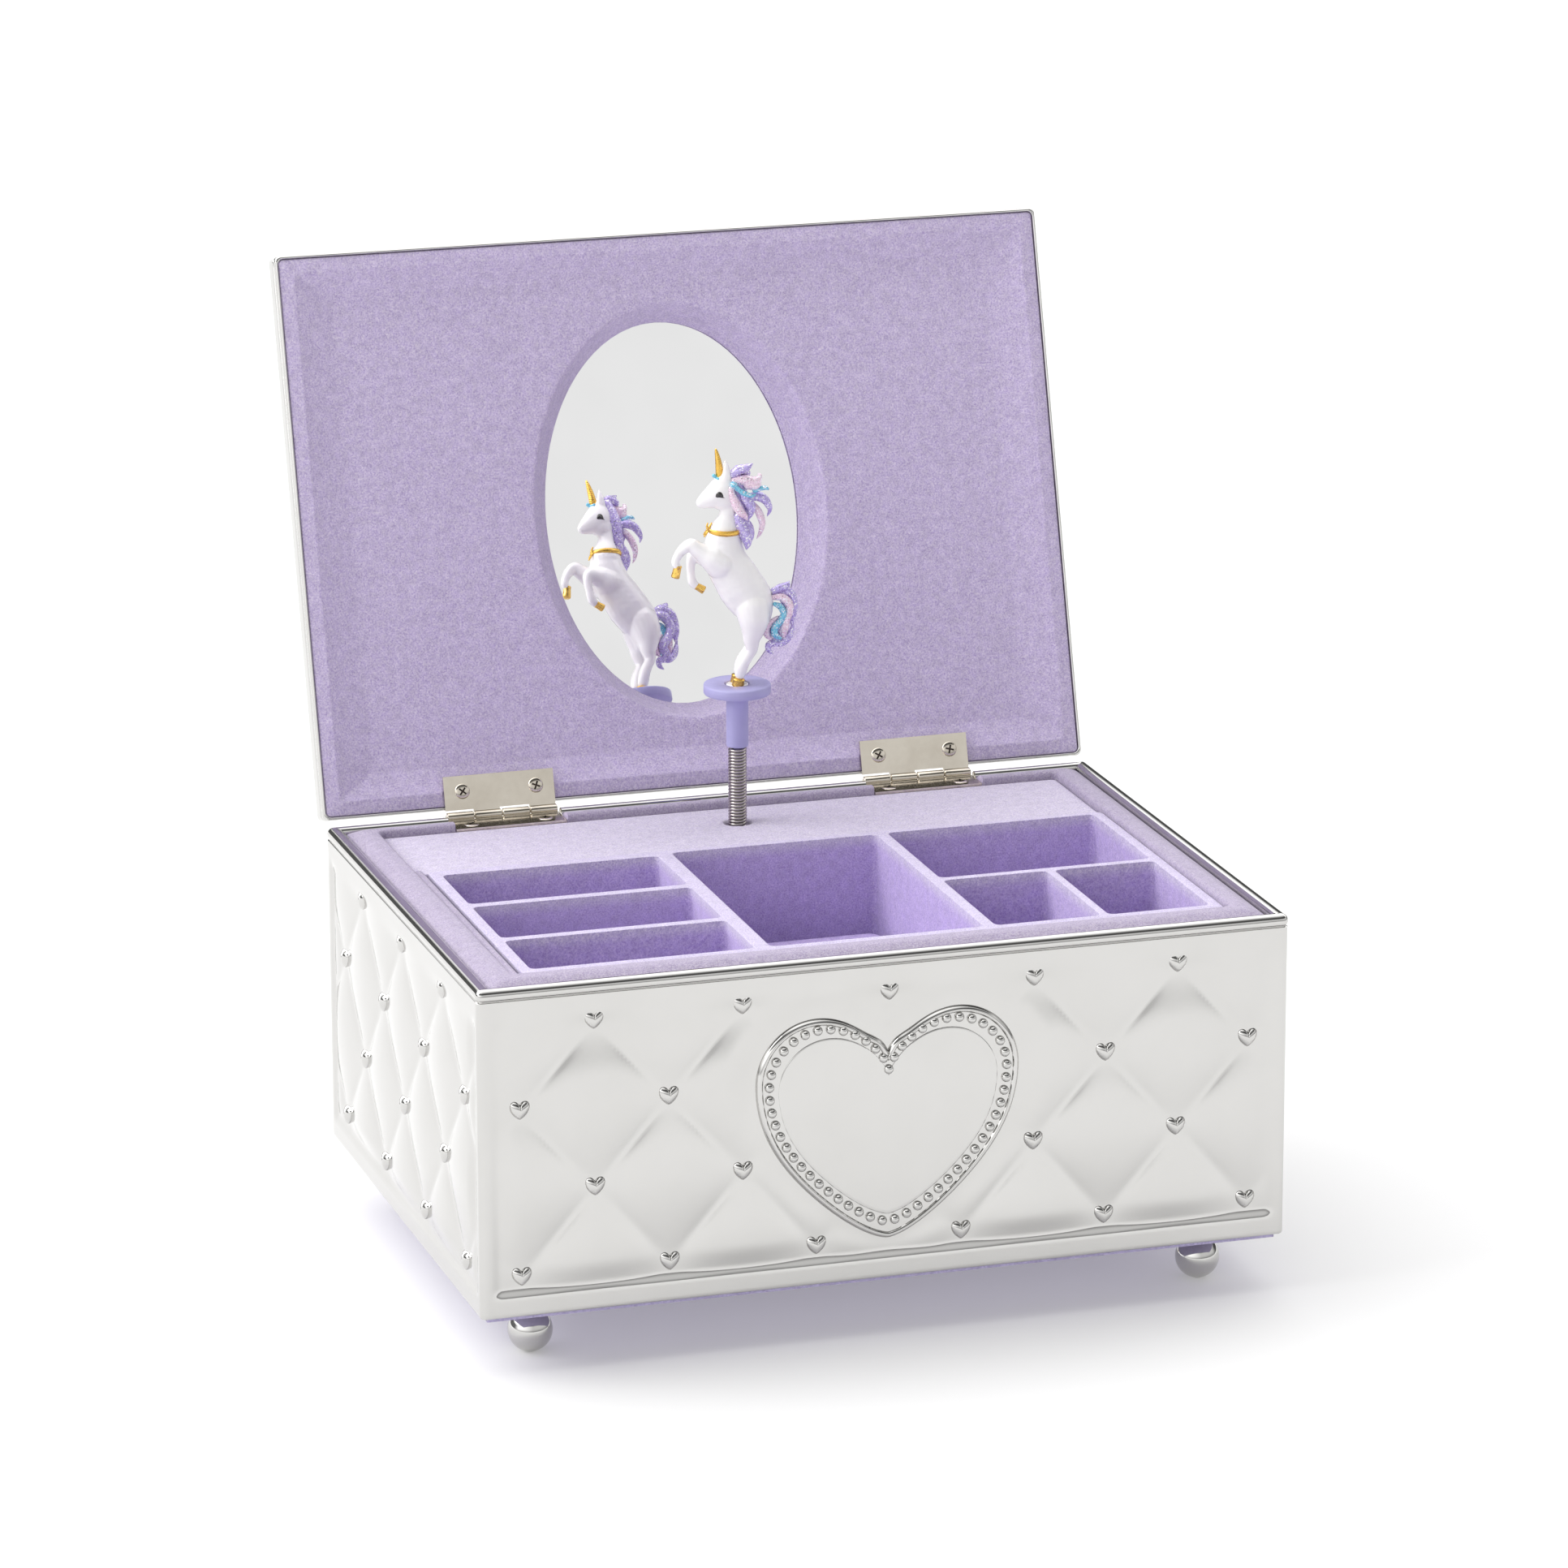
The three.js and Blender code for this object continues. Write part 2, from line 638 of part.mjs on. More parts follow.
// balls [u, w, v, r]: u along the profile (the face looks towards -u), w sideways, v up
const TORSO = [[-3, 0, 29.4, 4.8], [0.3, 0, 24.8, 4.6], [3.2, 0, 19.8, 5]];
const NECK = [[-2.6, 0, 33.4, 4.1], [-1.4, 0, 38.4, 2.9], [-1, 0, 42.3, 2.8]];
const HEAD = [[-1.6, 0, 43.2, 3.1], [-7.1, 0, 41.1, 1.6]];
const FORELEGS = [
  [[-4.4, -1.6, 30.4, 3], [-10.3, -2.2, 32.4, 1.5], [-13.1, -2.2, 29, 1.2], [-12.8, -2.2, 26.8, 1]],
  [[-4.8, 1.4, 28.6, 2.7], [-9.5, 2.2, 29.1, 1.4], [-10, 2.2, 24.6, 1.2], [-8.1, 2.2, 21.8, 1]],
];
const HORN = [[-3.6, 0, 46.4, 1.1], [-4.6, 0, 52.8, 0.3]];
const MANE = [
  [[0.6, 0, 46.6, 2.2], [2.2, 0.4, 42, 2.6], [2.6, 0.2, 37.6, 2.3], [2.4, 0, 31.6, 0.8]],
  [[1.2, 0, 46, 1.8], [3.4, 0, 49, 0.6]],
  [[2.8, 0, 44.6, 1.8], [6.6, -0.4, 44.6, 0.5]],
  [[3.2, 0.4, 41.4, 1.8], [6.9, 0.8, 41.6, 1], [7.3, 0.8, 38.8, 0.4]],
  [[3.2, 0, 38.6, 1.6], [5.4, -0.3, 36.4, 1], [4.8, -0.3, 33.8, 0.4]],
];
const TAIL = [
  [[8.6, 0, 20.2, 1.2], [10.8, 0, 20.4, 1.9], [11.6, 0, 17, 1.8], [10, 0, 13, 2.1]],
  [[10, 0, 13, 2.1], [9.4, 0, 10.2, 1.7], [8, 0, 7.7, 0.8]],
];

function hindLeg(side) {
  return [
    [3.2, side * 1.7, 17.4, 3.8], [3.9, side * 1.7, 11, 1.8], [1.7, side * 1.4, 6, 1.4],
    [0.1, side * 1.1, 1.2, 1.2],
  ];
}

function ear(side) {
  return [[-1.5, side * 1.5, 45.4, 1], [-2, side * 1.7, 49.6, 0.35]];
}

function ballPoints([u, w, v, r], grow) {
  const ball = new THREE.IcosahedronGeometry(r + grow, 1).translate(u, w, v);
  const place = ball.attributes.position;
  const points = [];
  for (let i = 0; i < place.count; i += 1) {
    points.push(new THREE.Vector3().fromBufferAttribute(place, i));
  }
  return points;
}

// a row of balls with a taut skin from each to the next
function limb(balls, grow = 0) {
  const links = [];
  for (let i = 0; i + 1 < balls.length; i += 1) {
    links.push(hull([...ballPoints(balls[i], grow), ...ballPoints(balls[i + 1], grow)]));
  }
  return joined(links);
}

function unicorn(grow) {
  const rows = [TORSO, NECK, HEAD, ...FORELEGS, hindLeg(-1), hindLeg(1), ear(-1), ear(1)];
  const limbs = joined(rows.map((row) => limb(row, grow)));
  return limbs.add(post(0, 0, -1.1, 0.2 + grow, PLUG_R + grow));
}

function collarBand(grow) {
  const height = 1.1 + 2 * grow;
  const ring = new THREE.CylinderGeometry(4.4 + grow, 4.6 + grow, height, 32);
  ring.rotateX(Math.PI / 2).translate(0, 0, height / 2 - grow);
  ring.rotateY(radians(10)).translate(-2.35, 0, 34.2);
  const bow = new THREE.SphereGeometry(0.9 + grow, 12, 8).scale(0.8, 1.4, 1);
  return solidOf(ring).add(solidOf(bow.translate(-6.8, 0, 34.4)));
}

function buildFigure() {
  const clear = unicorn(0.25);
  const around = clear.add(limb(HORN, 0.3)).add(collarBand(0.3));
  const mane = joined(MANE.map((lock) => limb(lock)));
  const tail = joined(TAIL.map((lock) => limb(lock)));
  addSolid(figure, 'unicorn_body', 'white', unicorn(0).subtract(limb(HORN, 0.25)));
  addSolid(figure, 'unicorn_horn', 'gold', limb(HORN));
  addSolid(figure, 'unicorn_collar', 'gold', collarBand(0).subtract(clear));
  addSolid(figure, 'unicorn_mane', 'glitter', mane.subtract(around));
  addSolid(figure, 'unicorn_tail', 'glitter', tail.subtract(clear));
}

buildBody();
buildHinges();
buildLid();
buildMovement();
buildTurntable();
buildFigure();

export default part;
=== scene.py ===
"""Wind-up music box: an embossed silver-plated body, a flocked tray and a rearing unicorn on a spring."""

import math
from contextlib import contextmanager

import bmesh
import bpy
import numpy as np
from mathutils import Matrix, Vector

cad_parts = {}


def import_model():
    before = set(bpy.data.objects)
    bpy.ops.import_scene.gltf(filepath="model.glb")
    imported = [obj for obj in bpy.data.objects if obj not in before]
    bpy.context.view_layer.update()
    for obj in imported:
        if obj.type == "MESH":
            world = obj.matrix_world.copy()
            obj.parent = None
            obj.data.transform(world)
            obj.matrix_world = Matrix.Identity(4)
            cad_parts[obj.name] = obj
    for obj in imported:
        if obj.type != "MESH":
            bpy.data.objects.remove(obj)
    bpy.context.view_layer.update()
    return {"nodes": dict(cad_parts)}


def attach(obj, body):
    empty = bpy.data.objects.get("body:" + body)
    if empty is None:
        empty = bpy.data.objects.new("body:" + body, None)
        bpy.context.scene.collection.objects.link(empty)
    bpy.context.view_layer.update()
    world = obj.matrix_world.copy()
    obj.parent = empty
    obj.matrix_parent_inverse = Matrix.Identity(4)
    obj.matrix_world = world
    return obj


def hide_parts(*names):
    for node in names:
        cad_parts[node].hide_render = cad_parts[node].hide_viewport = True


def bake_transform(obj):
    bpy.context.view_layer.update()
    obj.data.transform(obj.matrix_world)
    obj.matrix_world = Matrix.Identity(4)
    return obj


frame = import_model()

MM = 0.001

# body, millimetres
HALF_X = 88.9
HALF_Y = 63.5
WALL = 1.4
PANEL_LOW = 17.6
PANEL_HIGH = 78.0
PANEL_INSET = 2.7
# width and height of one diamond of the quilting: long sides and lid, short sides and lid, all walls
QUILT_X = 32.0
QUILT_Y = 33.4
QUILT_Z = 36.2
QUILT_TOP = 75.9
SEAM_ROUND = 0.03
SMALL_HEART = 4.5
PUFF = 1.3
PANEL_SUNK = 0.6
CORNER_R = 1.3
FOOT_R = 4.8
# the big heart on the front
HEART_LOW = 21.9
HEART_W = 57.1
HEART_H = 49.1
HEART_X = -0.3
BEADS = 57

# lid
LID_HALF_Y = 62.6
OPEN_DEG = 106.5
OVAL_OUT = (33.9, 46.4)
OVAL_IN = (29.3, 42.9)

# hinges
HINGE_X = (-48.6, 48.6)
PIN_Y = 64.2
PIN_Z = 83.7
LEAF_HALF = 12.65
KNUCKLE_PITCH = 6.4
KNUCKLE_LENGTH = 6.1
SCREW_X = (-8.45, 8.45)
SCREW_Y = 58.6
SCREW_HOLE_R = 1.3
# a leaf's faces over this area, in square metres, are its flat sides
LEVEL_FACE = 1.6e-6

# figure
SPIN_Y = 44.0
SPRING_LOW = 75.3
SPRING_LENGTH = 24.7
DISC_TOP = 114.8
FIGURE_TURN = math.radians(-15)
EYE_U = -3.8

# camera
CAMERA_AT = (-448.44, -1413.79, 525.58)
CAMERA_LENS = 164.58
CAMERA_AZ = math.radians(-17.485)
CAMERA_EL = math.radians(15.881)
CAMERA_ROLL = math.radians(-0.1)


# ---- small helpers ------------------------------------------------------


def mesh_object(name, verts, faces, material, smooth=True):
    """A mesh from points in millimetres."""
    mesh = bpy.data.meshes.new(name)
    mesh.from_pydata([tuple(float(c) * MM for c in v) for v in verts], [], faces)
    mesh.update()
    obj = bpy.data.objects.new(name, mesh)
    bpy.context.scene.collection.objects.link(obj)
    obj.data.materials.append(material)
    if smooth:
        for poly in mesh.polygons:
            poly.use_smooth = True
    return obj


def grid_faces(rows, cols, wrap_cols=False, wrap_rows=False):
    """Quads of a grid whose points run row by row."""
    faces = []
    last_col = cols if wrap_cols else cols - 1
    last_row = rows if wrap_rows else rows - 1
    for r in range(last_row):
        r2 = (r + 1) % rows
        for c in range(last_col):
            c2 = (c + 1) % cols
            faces.append((r * cols + c, r * cols + c2, r2 * cols + c2, r2 * cols + c))
    return faces


def ring_faces(rows, cols):
    """Quads between closed rings of points that run from the top ring down."""
    faces = []
    for r in range(rows - 1):
        for c in range(cols):
            c2 = (c + 1) % cols
            faces.append((r * cols + c, (r + 1) * cols + c, (r + 1) * cols + c2, r * cols + c2))
    return faces


@contextmanager
def editing(obj):
    """The object's mesh opened for editing and written back."""
    bm = bmesh.new()
    bm.from_mesh(obj.data)
    yield bm
    bm.to_mesh(obj.data)
    bm.free()


def recalc(obj):
    """Faces turned outward."""
    with editing(obj) as bm:
        bmesh.ops.recalc_face_normals(bm, faces=bm.faces)


def smooth_by_angle(obj, degrees=35):
    """Smooth shading except across sharp edges."""
    for poly in obj.data.polygons:
        poly.use_smooth = True
    limit = math.radians(degrees)
    with editing(obj) as bm:
        for edge in bm.edges:
            if len(edge.link_faces) == 2:
                edge.smooth = edge.calc_face_angle(0) < limit


def bevel(obj, width, segments, degrees):
    """Rounds the sharp edges by a modifier."""
    mod = obj.modifiers.new("rounded", "BEVEL")
    mod.width = width * MM
    mod.segments = segments
    mod.limit_method = "ANGLE"
    mod.angle_limit = math.radians(degrees)
    mod.harden_normals = False


def applied(obj):
    """The object's modifiers written into its mesh."""
    graph = bpy.context.evaluated_depsgraph_get()
    mesh = bpy.data.meshes.new_from_object(obj.evaluated_get(graph))
    old = obj.data
    obj.modifiers.clear()
    obj.data = mesh
    bpy.data.meshes.remove(old)


def lathe(name, profile, material, at=(0, 0), steps=96):
    """A closed turned piece about Z; profile is [(r, z), ...] from the bottom axis to the top axis."""
    verts = []
    for r, z in profile:
        for i in range(steps):
            a = 2 * math.pi * i / steps
            verts.append((at[0] + r * math.cos(a), at[1] + r * math.sin(a), z))
    faces = grid_faces(len(profile), steps, wrap_cols=True)
    faces.append(tuple(range(steps))[::-1])
    faces.append(tuple(range((len(profile) - 1) * steps, len(profile) * steps)))
    obj = mesh_object(name, verts, faces, material)
    with editing(obj) as bm:
        bmesh.ops.remove_doubles(bm, verts=bm.verts, dist=1e-6)
        bmesh.ops.recalc_face_normals(bm, faces=bm.faces)
    return obj


def opened(obj):
    """Turns a piece made for the closed lid to the open lid."""
    turn = Matrix.Rotation(math.radians(-OPEN_DEG), 4, "X")
    pin = Vector((0, PIN_Y * MM, PIN_Z * MM))
    obj.data.transform(Matrix.Translation(pin) @ turn @ Matrix.Translation(-pin))


def rides(obj, body_name, slot, *nodes):
    """Puts a piece on its body, in place of the CAD nodes it stands for; slot is not used."""
    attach(obj, body_name)
    if nodes:
        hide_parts(*nodes)
    return obj


def cube_data(x0, x1, y0, y1, z0, z1):
    """Vertices and faces of a box."""
    verts = [(x, y, z) for z in (z0, z1) for y in (y0, y1) for x in (x0, x1)]
    faces = [(0, 2, 3, 1), (4, 5, 7, 6), (0, 1, 5, 4), (2, 6, 7, 3), (0, 4, 6, 2), (1, 3, 7, 5)]
    return verts, faces


def cut_with(obj, cutters, operation="DIFFERENCE"):
    """Booleans the cutters into the object and throws them away."""
    for cutter in cutters:
        mod = obj.modifiers.new("cut", "BOOLEAN")
        mod.operation = operation
        mod.object = cutter
        mod.solver = "EXACT"
        mod.material_mode = "TRANSFER"
        applied(obj)
        bpy.data.objects.remove(cutter)


def hinge_pockets(half, y0, y1, z0, z1, material):
    """A cutter for the pocket of each hinge."""
    boxes = [cube_data(x - half, x + half, y0, y1, z0, z1) for x in HINGE_X]
    return [mesh_object("cut", *box, material, False) for box in boxes]


def smoothstep(low, high, x):
    """0 below low, 1 above high, eased between them."""
    t = np.clip((x - low) / (high - low), 0, 1)
    return t * t * (3 - 2 * t)


# ---- materials ----------------------------------------------------------


def new_material(name):
    """A node material, its nodes, its links and its main shader."""
    mat = bpy.data.materials.new(name)
    mat.use_nodes = True
    nodes = mat.node_tree.nodes
    return mat, nodes, mat.node_tree.links, nodes["Principled BSDF"]


def noise(nodes, links, scale, detail, rough=0.6):
    """A noise texture over the object's own coordinates, in cycles per metre."""
    coord = nodes.new("ShaderNodeTexCoord")
    tex = nodes.new("ShaderNodeTexNoise")
    tex.inputs["Scale"].default_value = scale
    tex.inputs["Detail"].default_value = detail
    tex.inputs["Roughness"].default_value = rough
    links.new(coord.outputs["Object"], tex.inputs["Vector"])
    return tex.outputs["Fac"]


def ramp(nodes, links, source, stops):
    """The colour of a ramp fed by source; stops are (place, colour)."""
    node = nodes.new("ShaderNodeValToRGB")
    elements = node.color_ramp.elements
    while len(elements) < len(stops):
        elements.new(0.5)
    for element, (place, colour) in zip(elements, stops):
        element.position = place
        element.color = (*colour, 1)
    links.new(source, node.inputs["Fac"])
    return node.outputs["Color"]


def bump(nodes, links, source, shader, strength, distance):
    """Raises the surface by source; distance is in millimetres."""
    node = nodes.new("ShaderNodeBump")
    node.inputs["Strength"].default_value = strength
    node.inputs["Distance"].default_value = distance * MM
    links.new(source, node.inputs["Height"])
    links.new(node.outputs["Normal"], shader.inputs["Normal"])


def multiplied(nodes, links, one, other):
    """Two colours multiplied."""
    mix = nodes.new("ShaderNodeMixRGB")
    mix.blend_type = "MULTIPLY"
    mix.inputs["Fac"].default_value = 1
    links.new(one, mix.inputs["Color1"])
    links.new(other, mix.inputs["Color2"])
    return mix.outputs["Color"]


def scaled(nodes, links, source, factor, clamp=False):
    """A number multiplied by a constant, held between 0 and 1 on demand."""
    node = nodes.new("ShaderNodeMath")
    node.operation = "MULTIPLY"
    node.inputs[1].default_value = factor
    node.use_clamp = clamp
    links.new(source, node.inputs[0])
    return node.outputs[0]


def axes(nodes, links, space="Object"):
    """A node whose outputs are the X, Y and Z of a coordinate."""
    coord = nodes.new("ShaderNodeTexCoord")
    split = nodes.new("ShaderNodeSeparateXYZ")
    links.new(coord.outputs[space], split.inputs["Vector"])
    return split


def spread(nodes, links, source, low, high, to_low=0):
    """Source from low to high, in metres, spread over to_low to 1."""
    node = nodes.new("ShaderNodeMapRange")
    node.inputs["From Min"].default_value = low
    node.inputs["From Max"].default_value = high
    node.inputs["To Min"].default_value = to_low
    links.new(source, node.inputs["Value"])
    return node.outputs["Result"]


def grey(v):
    """A grey colour."""
    return (v, v, v)


def metal(name, light, dark, rough, wavy):
    """Plated metal: faint tarnish clouds, small changes of gloss, hair-fine unevenness."""
    mat, nodes, links, shader = new_material(name)
    shader.inputs["Metallic"].default_value = 1
    clouds = noise(nodes, links, 60, 4)
    tint = ramp(nodes, links, clouds, [(0.3, dark), (0.62, light)])
    links.new(tint, shader.inputs["Base Color"])
    spots = noise(nodes, links, 900, 3)
    gloss = ramp(nodes, links, spots, [(0.35, grey(rough * 0.7)), (0.75, grey(rough * 1.5))])
    links.new(gloss, shader.inputs["Roughness"])
    bump(nodes, links, clouds, shader, wavy, 0.4)
    return mat


def flock(name, light, mid, deep, well_shade=None):
    """Short velvet pile: speckle of fibre ends, soft patches where the pile leans, sheen.
    The last colour, when given, is painted shade: a deeper tint of the pile below the rims of the tray, inside
    the wells."""
    mat, nodes, links, shader = new_material(name)
    fibres = noise(nodes, links, 2600, 5, 0.75)
    speckle = ramp(nodes, links, fibres, [(0.32, deep), (0.5, mid), (0.68, light)])
    patches = noise(nodes, links, 520, 3)
    lean = ramp(nodes, links, patches, [(0.35, grey(0.88)), (0.65, grey(1))])
    colour = multiplied(nodes, links, speckle, lean)
    # painted shade: the pile is tinted deeper below the tray's rims, inside the wells
    if well_shade:
        height = axes(nodes, links).outputs["Z"]
        depth = spread(nodes, links, height, 80.6 * MM, 82.9 * MM)
        well_shade_tint = ramp(nodes, links, depth, [(0, well_shade), (1, grey(1))])
        colour = multiplied(nodes, links, colour, well_shade_tint)
    links.new(colour, shader.inputs["Base Color"])
    shader.inputs["Roughness"].default_value = 0.95
    shader.inputs["Specular IOR Level"].default_value = 0.15
    shader.inputs["Sheen Weight"].default_value = 0.35
    shader.inputs["Sheen Roughness"].default_value = 0.45
    shader.inputs["Sheen Tint"].default_value = (0.93, 0.9, 1, 1)
    bump(nodes, links, fibres, shader, 0.7, 0.25)
    return mat


def plastic(name, light, dark, rough, scale=140, coat=0.0, depth=0.08, sub=0.0):
    """Moulded or painted plastic; sub is how much light passes into it."""
    mat, nodes, links, shader = new_material(name)
    clouds = noise(nodes, links, scale, 4)
    tint = ramp(nodes, links, clouds, [(0.35, dark), (0.65, light)])
    links.new(tint, shader.inputs["Base Color"])
    shader.inputs["Coat Weight"].default_value = coat
    fine = noise(nodes, links, scale * 9, 3)
    gloss = ramp(nodes, links, fine, [(0.35, grey(rough * 0.8)), (0.7, grey(min(1, rough * 1.25)))])
    links.new(gloss, shader.inputs["Roughness"])
    if sub:
        shader.inputs["Subsurface Weight"].default_value = sub
        shader.inputs["Subsurface Radius"].default_value = (1, 0.9, 0.85)
        shader.inputs["Subsurface Scale"].default_value = 1.2 * MM
    bump(nodes, links, fine, shader, 0.15, depth)
    return mat


def glitter(name, base, second):
    """Lacquer full of small bright flakes."""
    mat, nodes, links, shader = new_material(name)
    coord = nodes.new("ShaderNodeTexCoord")
    cells = nodes.new("ShaderNodeTexVoronoi")
    cells.inputs["Scale"].default_value = 3600
    links.new(coord.outputs["Object"], cells.inputs["Vector"])
    split = nodes.new("ShaderNodeSeparateColor")
    links.new(cells.outputs["Color"], split.inputs["Color"])
    red, green, blue = (split.outputs[part] for part in ("Red", "Green", "Blue"))
    body = ramp(nodes, links, red, [(0, second), (0.5, base), (0.8, base), (0.88, (0.95, 0.93, 1))])
    links.new(body, shader.inputs["Base Color"])
    shine = ramp(nodes, links, green, [(0.6, grey(0)), (0.72, grey(0.7))])
    links.new(shine, shader.inputs["Metallic"])
    gloss = ramp(nodes, links, blue, [(0.2, grey(0.18)), (0.8, grey(0.5))])
    links.new(gloss, shader.inputs["Roughness"])
    shader.inputs["Coat Weight"].default_value = 0.5
    shader.inputs["Coat Roughness"].default_value = 0.12
    bump(nodes, links, red, shader, 0.6, 0.12)
    return mat


def board(name):
    """Raw fibreboard: short fibres in brown."""
    mat, nodes, links, shader = new_material(name)
    fibres = noise(nodes, links, 900, 6, 0.7)
    tint = ramp(nodes, links, fibres, [(0.3, (0.25, 0.16, 0.09)), (0.7, (0.47, 0.34, 0.2))])
    links.new(tint, shader.inputs["Base Color"])
    shader.inputs["Roughness"].default_value = 0.85
    bump(nodes, links, fibres, shader, 0.4, 0.15)
    return mat


def mirror(name):
    """Silvered glass under the faintest haze."""
    mat, nodes, links, shader = new_material(name)
    haze = noise(nodes, links, 40, 2)
    tint = ramp(nodes, links, haze, [(0.3, grey(0.9)), (0.7, grey(0.93))])
    links.new(tint, shader.inputs["Base Color"])
    shader.inputs["Metallic"].default_value = 1
    shader.inputs["Roughness"].default_value = 0.012
    return mat


SILVER = metal("silver_plate", (0.59, 0.584, 0.57), (0.575, 0.569, 0.554), 0.08, 0.02)
NICKEL = metal("hinge_nickel", (0.68, 0.63, 0.55), (0.58, 0.53, 0.45), 0.14, 0.03)
# Dark nickel for the screw slots: painted shade inside the slots.
SLOT_SHADE = metal("slot_painted_shade", (0.16, 0.13, 0.11), (0.10, 0.08, 0.07), 0.5, 0.05)
STEEL = metal("spring_steel", (0.55, 0.515, 0.495), (0.36, 0.33, 0.315), 0.2, 0.05)
BRASS = metal("machined_brass", (0.86, 0.66, 0.30), (0.70, 0.50, 0.20), 0.25, 0.05)
FLOCK = flock("flock", (0.84, 0.775, 0.90), (0.63, 0.54, 0.77), (0.40, 0.305, 0.61))
# The deck's flock is a paler copy of the same flock: painted light on the up-facing deck.
DECK_FLOCK_PAINTED_LIGHT = flock("deck_flock_painted_light", (0.84, 0.80, 0.84), (0.64, 0.585, 0.73), (0.42, 0.345, 0.57))
# The ledge's flock is a darker copy of the same flock: painted shade on the ledge.
LEDGE_FLOCK_PAINTED_SHADE = flock("ledge_flock_painted_shade", (0.60, 0.545, 0.62), (0.445, 0.39, 0.52), (0.28, 0.225, 0.39))
# The tray's flock turns deeper below its rims: painted shade inside the wells.
TRAY_FLOCK_WELL_SHADE = flock(
    "tray_flock_well_shade", (0.84, 0.79, 0.86), (0.62, 0.56, 0.74), (0.40, 0.32, 0.59), (0.84, 0.75, 0.98))
FELT = flock("base_felt", (0.62, 0.57, 0.78), (0.50, 0.45, 0.68), (0.36, 0.31, 0.52))
BOARD = board("fibreboard")
LILAC = plastic("lilac_plastic", (0.45, 0.43, 0.70), (0.41, 0.39, 0.66), 0.42)
WHITE = plastic("white_resin", (0.93, 0.915, 0.91), (0.90, 0.885, 0.885), 0.22, 200, 0.35, 0.03, 0.15)
GOLD = metal("gold_paint", (0.92, 0.62, 0.16), (0.72, 0.42, 0.08), 0.3, 0.5)
AQUA = plastic("aqua_paint", (0.20, 0.62, 0.80), (0.14, 0.50, 0.72), 0.3, 500, 0.4)
BLACK = plastic("black_paint", (0.02, 0.018, 0.018), (0.012, 0.01, 0.01), 0.2, 500, 0.6)
PURPLE_GLITTER = glitter("purple_glitter", (0.54, 0.46, 0.80), (0.40, 0.31, 0.68))
PINK_GLITTER = glitter("pink_glitter", (0.87, 0.69, 0.80), (0.76, 0.54, 0.69))
AQUA_GLITTER = glitter("aqua_glitter", (0.22, 0.62, 0.78), (0.16, 0.48, 0.70))
MIRROR = mirror("mirror_glass")


# ---- silver body --------------------------------------------------------


def heart_points(width, height, low, count, centre_x=HEART_X, notch=0.0):
    """Points of a heart outline, clockwise from the notch."""
    t = 2 * np.pi * np.arange(count) / count
    power = np.where(np.cos(t) > 0, 2.6, 1.3)
    x = width / 2 * np.sign(np.sin(t)) * np.abs(np.sin(t)) ** power
    y = 13 * np.cos(t) - 5 * np.cos(2 * t) - 2 * np.cos(3 * t) - np.cos(4 * t)
    z = low + height * (y / 29 + 0.5885)
    z += notch * np.exp(-((x / 3.5) ** 2)) * (np.cos(t) > 0)
    return np.stack([x + centre_x, z], 1)


def even_points(points, count):
    """The closed outline resampled to count points at equal steps."""
    closed = np.vstack([points, points[:1]])
    step = np.linalg.norm(np.diff(closed, axis=0), axis=1)
    along = np.concatenate([[0], np.cumsum(step)])
    at = np.linspace(0, along[-1], count, endpoint=False)
    return np.stack([np.interp(at, along, closed[:, k]) for k in range(2)], 1)


def pillow(u, v, pitch_u, pitch_v):
    """0 on the seams of the diamonds, rising to about 0.85 in their middles."""
    p = u / pitch_u + v / pitch_v
    q = u / pitch_u - v / pitch_v
    product = np.sin(np.pi * p) * np.sin(np.pi * q)
    return (product ** 2 + SEAM_ROUND ** 2) ** 0.275 - SEAM_ROUND ** 0.55


def heart_clearance(u, z):
    """0 on and inside the big heart, rising to 1 a few millimetres away from it."""
    ring = heart_points(HEART_W, HEART_H, HEART_LOW, 120, notch=2.6)
    gap = np.full(np.broadcast(u, z).shape, 1e9)
    for x0, z0 in ring:
        gap = np.minimum(gap, np.hypot(u - x0, z - z0))
    middle = HEART_LOW + 0.55 * HEART_H
    for scale in (0.25, 0.5, 0.75):
        for x0, z0 in ring[::4]:
            near = np.hypot(u - HEART_X - (x0 - HEART_X) * scale, z - middle - (z0 - middle) * scale)
            gap = np.where(near < 7, 0, gap)
    return smoothstep(1, 8, gap)


def panel_relief(u, z, half, pitch, clear):
    """How far a wall stands out of its border plane, in millimetres."""
    side = half - PANEL_INSET - np.abs(u)
    low = z - PANEL_LOW
    high = PANEL_HIGH - z
    inside = smoothstep(-0.3, 1.5, side) * smoothstep(-0.2, 1.1, low) * smoothstep(-0.5, 3.5, high)
    puff = PUFF * pillow(u, z - QUILT_TOP, pitch, QUILT_Z)
    fade = smoothstep(0, 6, side) * smoothstep(0, 6, low) * (0.5 + 0.5 * smoothstep(0, 14, high))
    return inside * (-PANEL_SUNK + puff * fade * clear)


# the four walls: outward, along, distance from the middle, half length, width of a diamond
WALLS = (
    ((0, -1), (1, 0), HALF_Y, HALF_X, QUILT_X), ((1, 0), (0, 1), HALF_X, HALF_Y, QUILT_Y),
    ((0, 1), (-1, 0), HALF_Y, HALF_X, QUILT_X), ((-1, 0), (0, -1), HALF_X, HALF_Y, QUILT_Y),
)


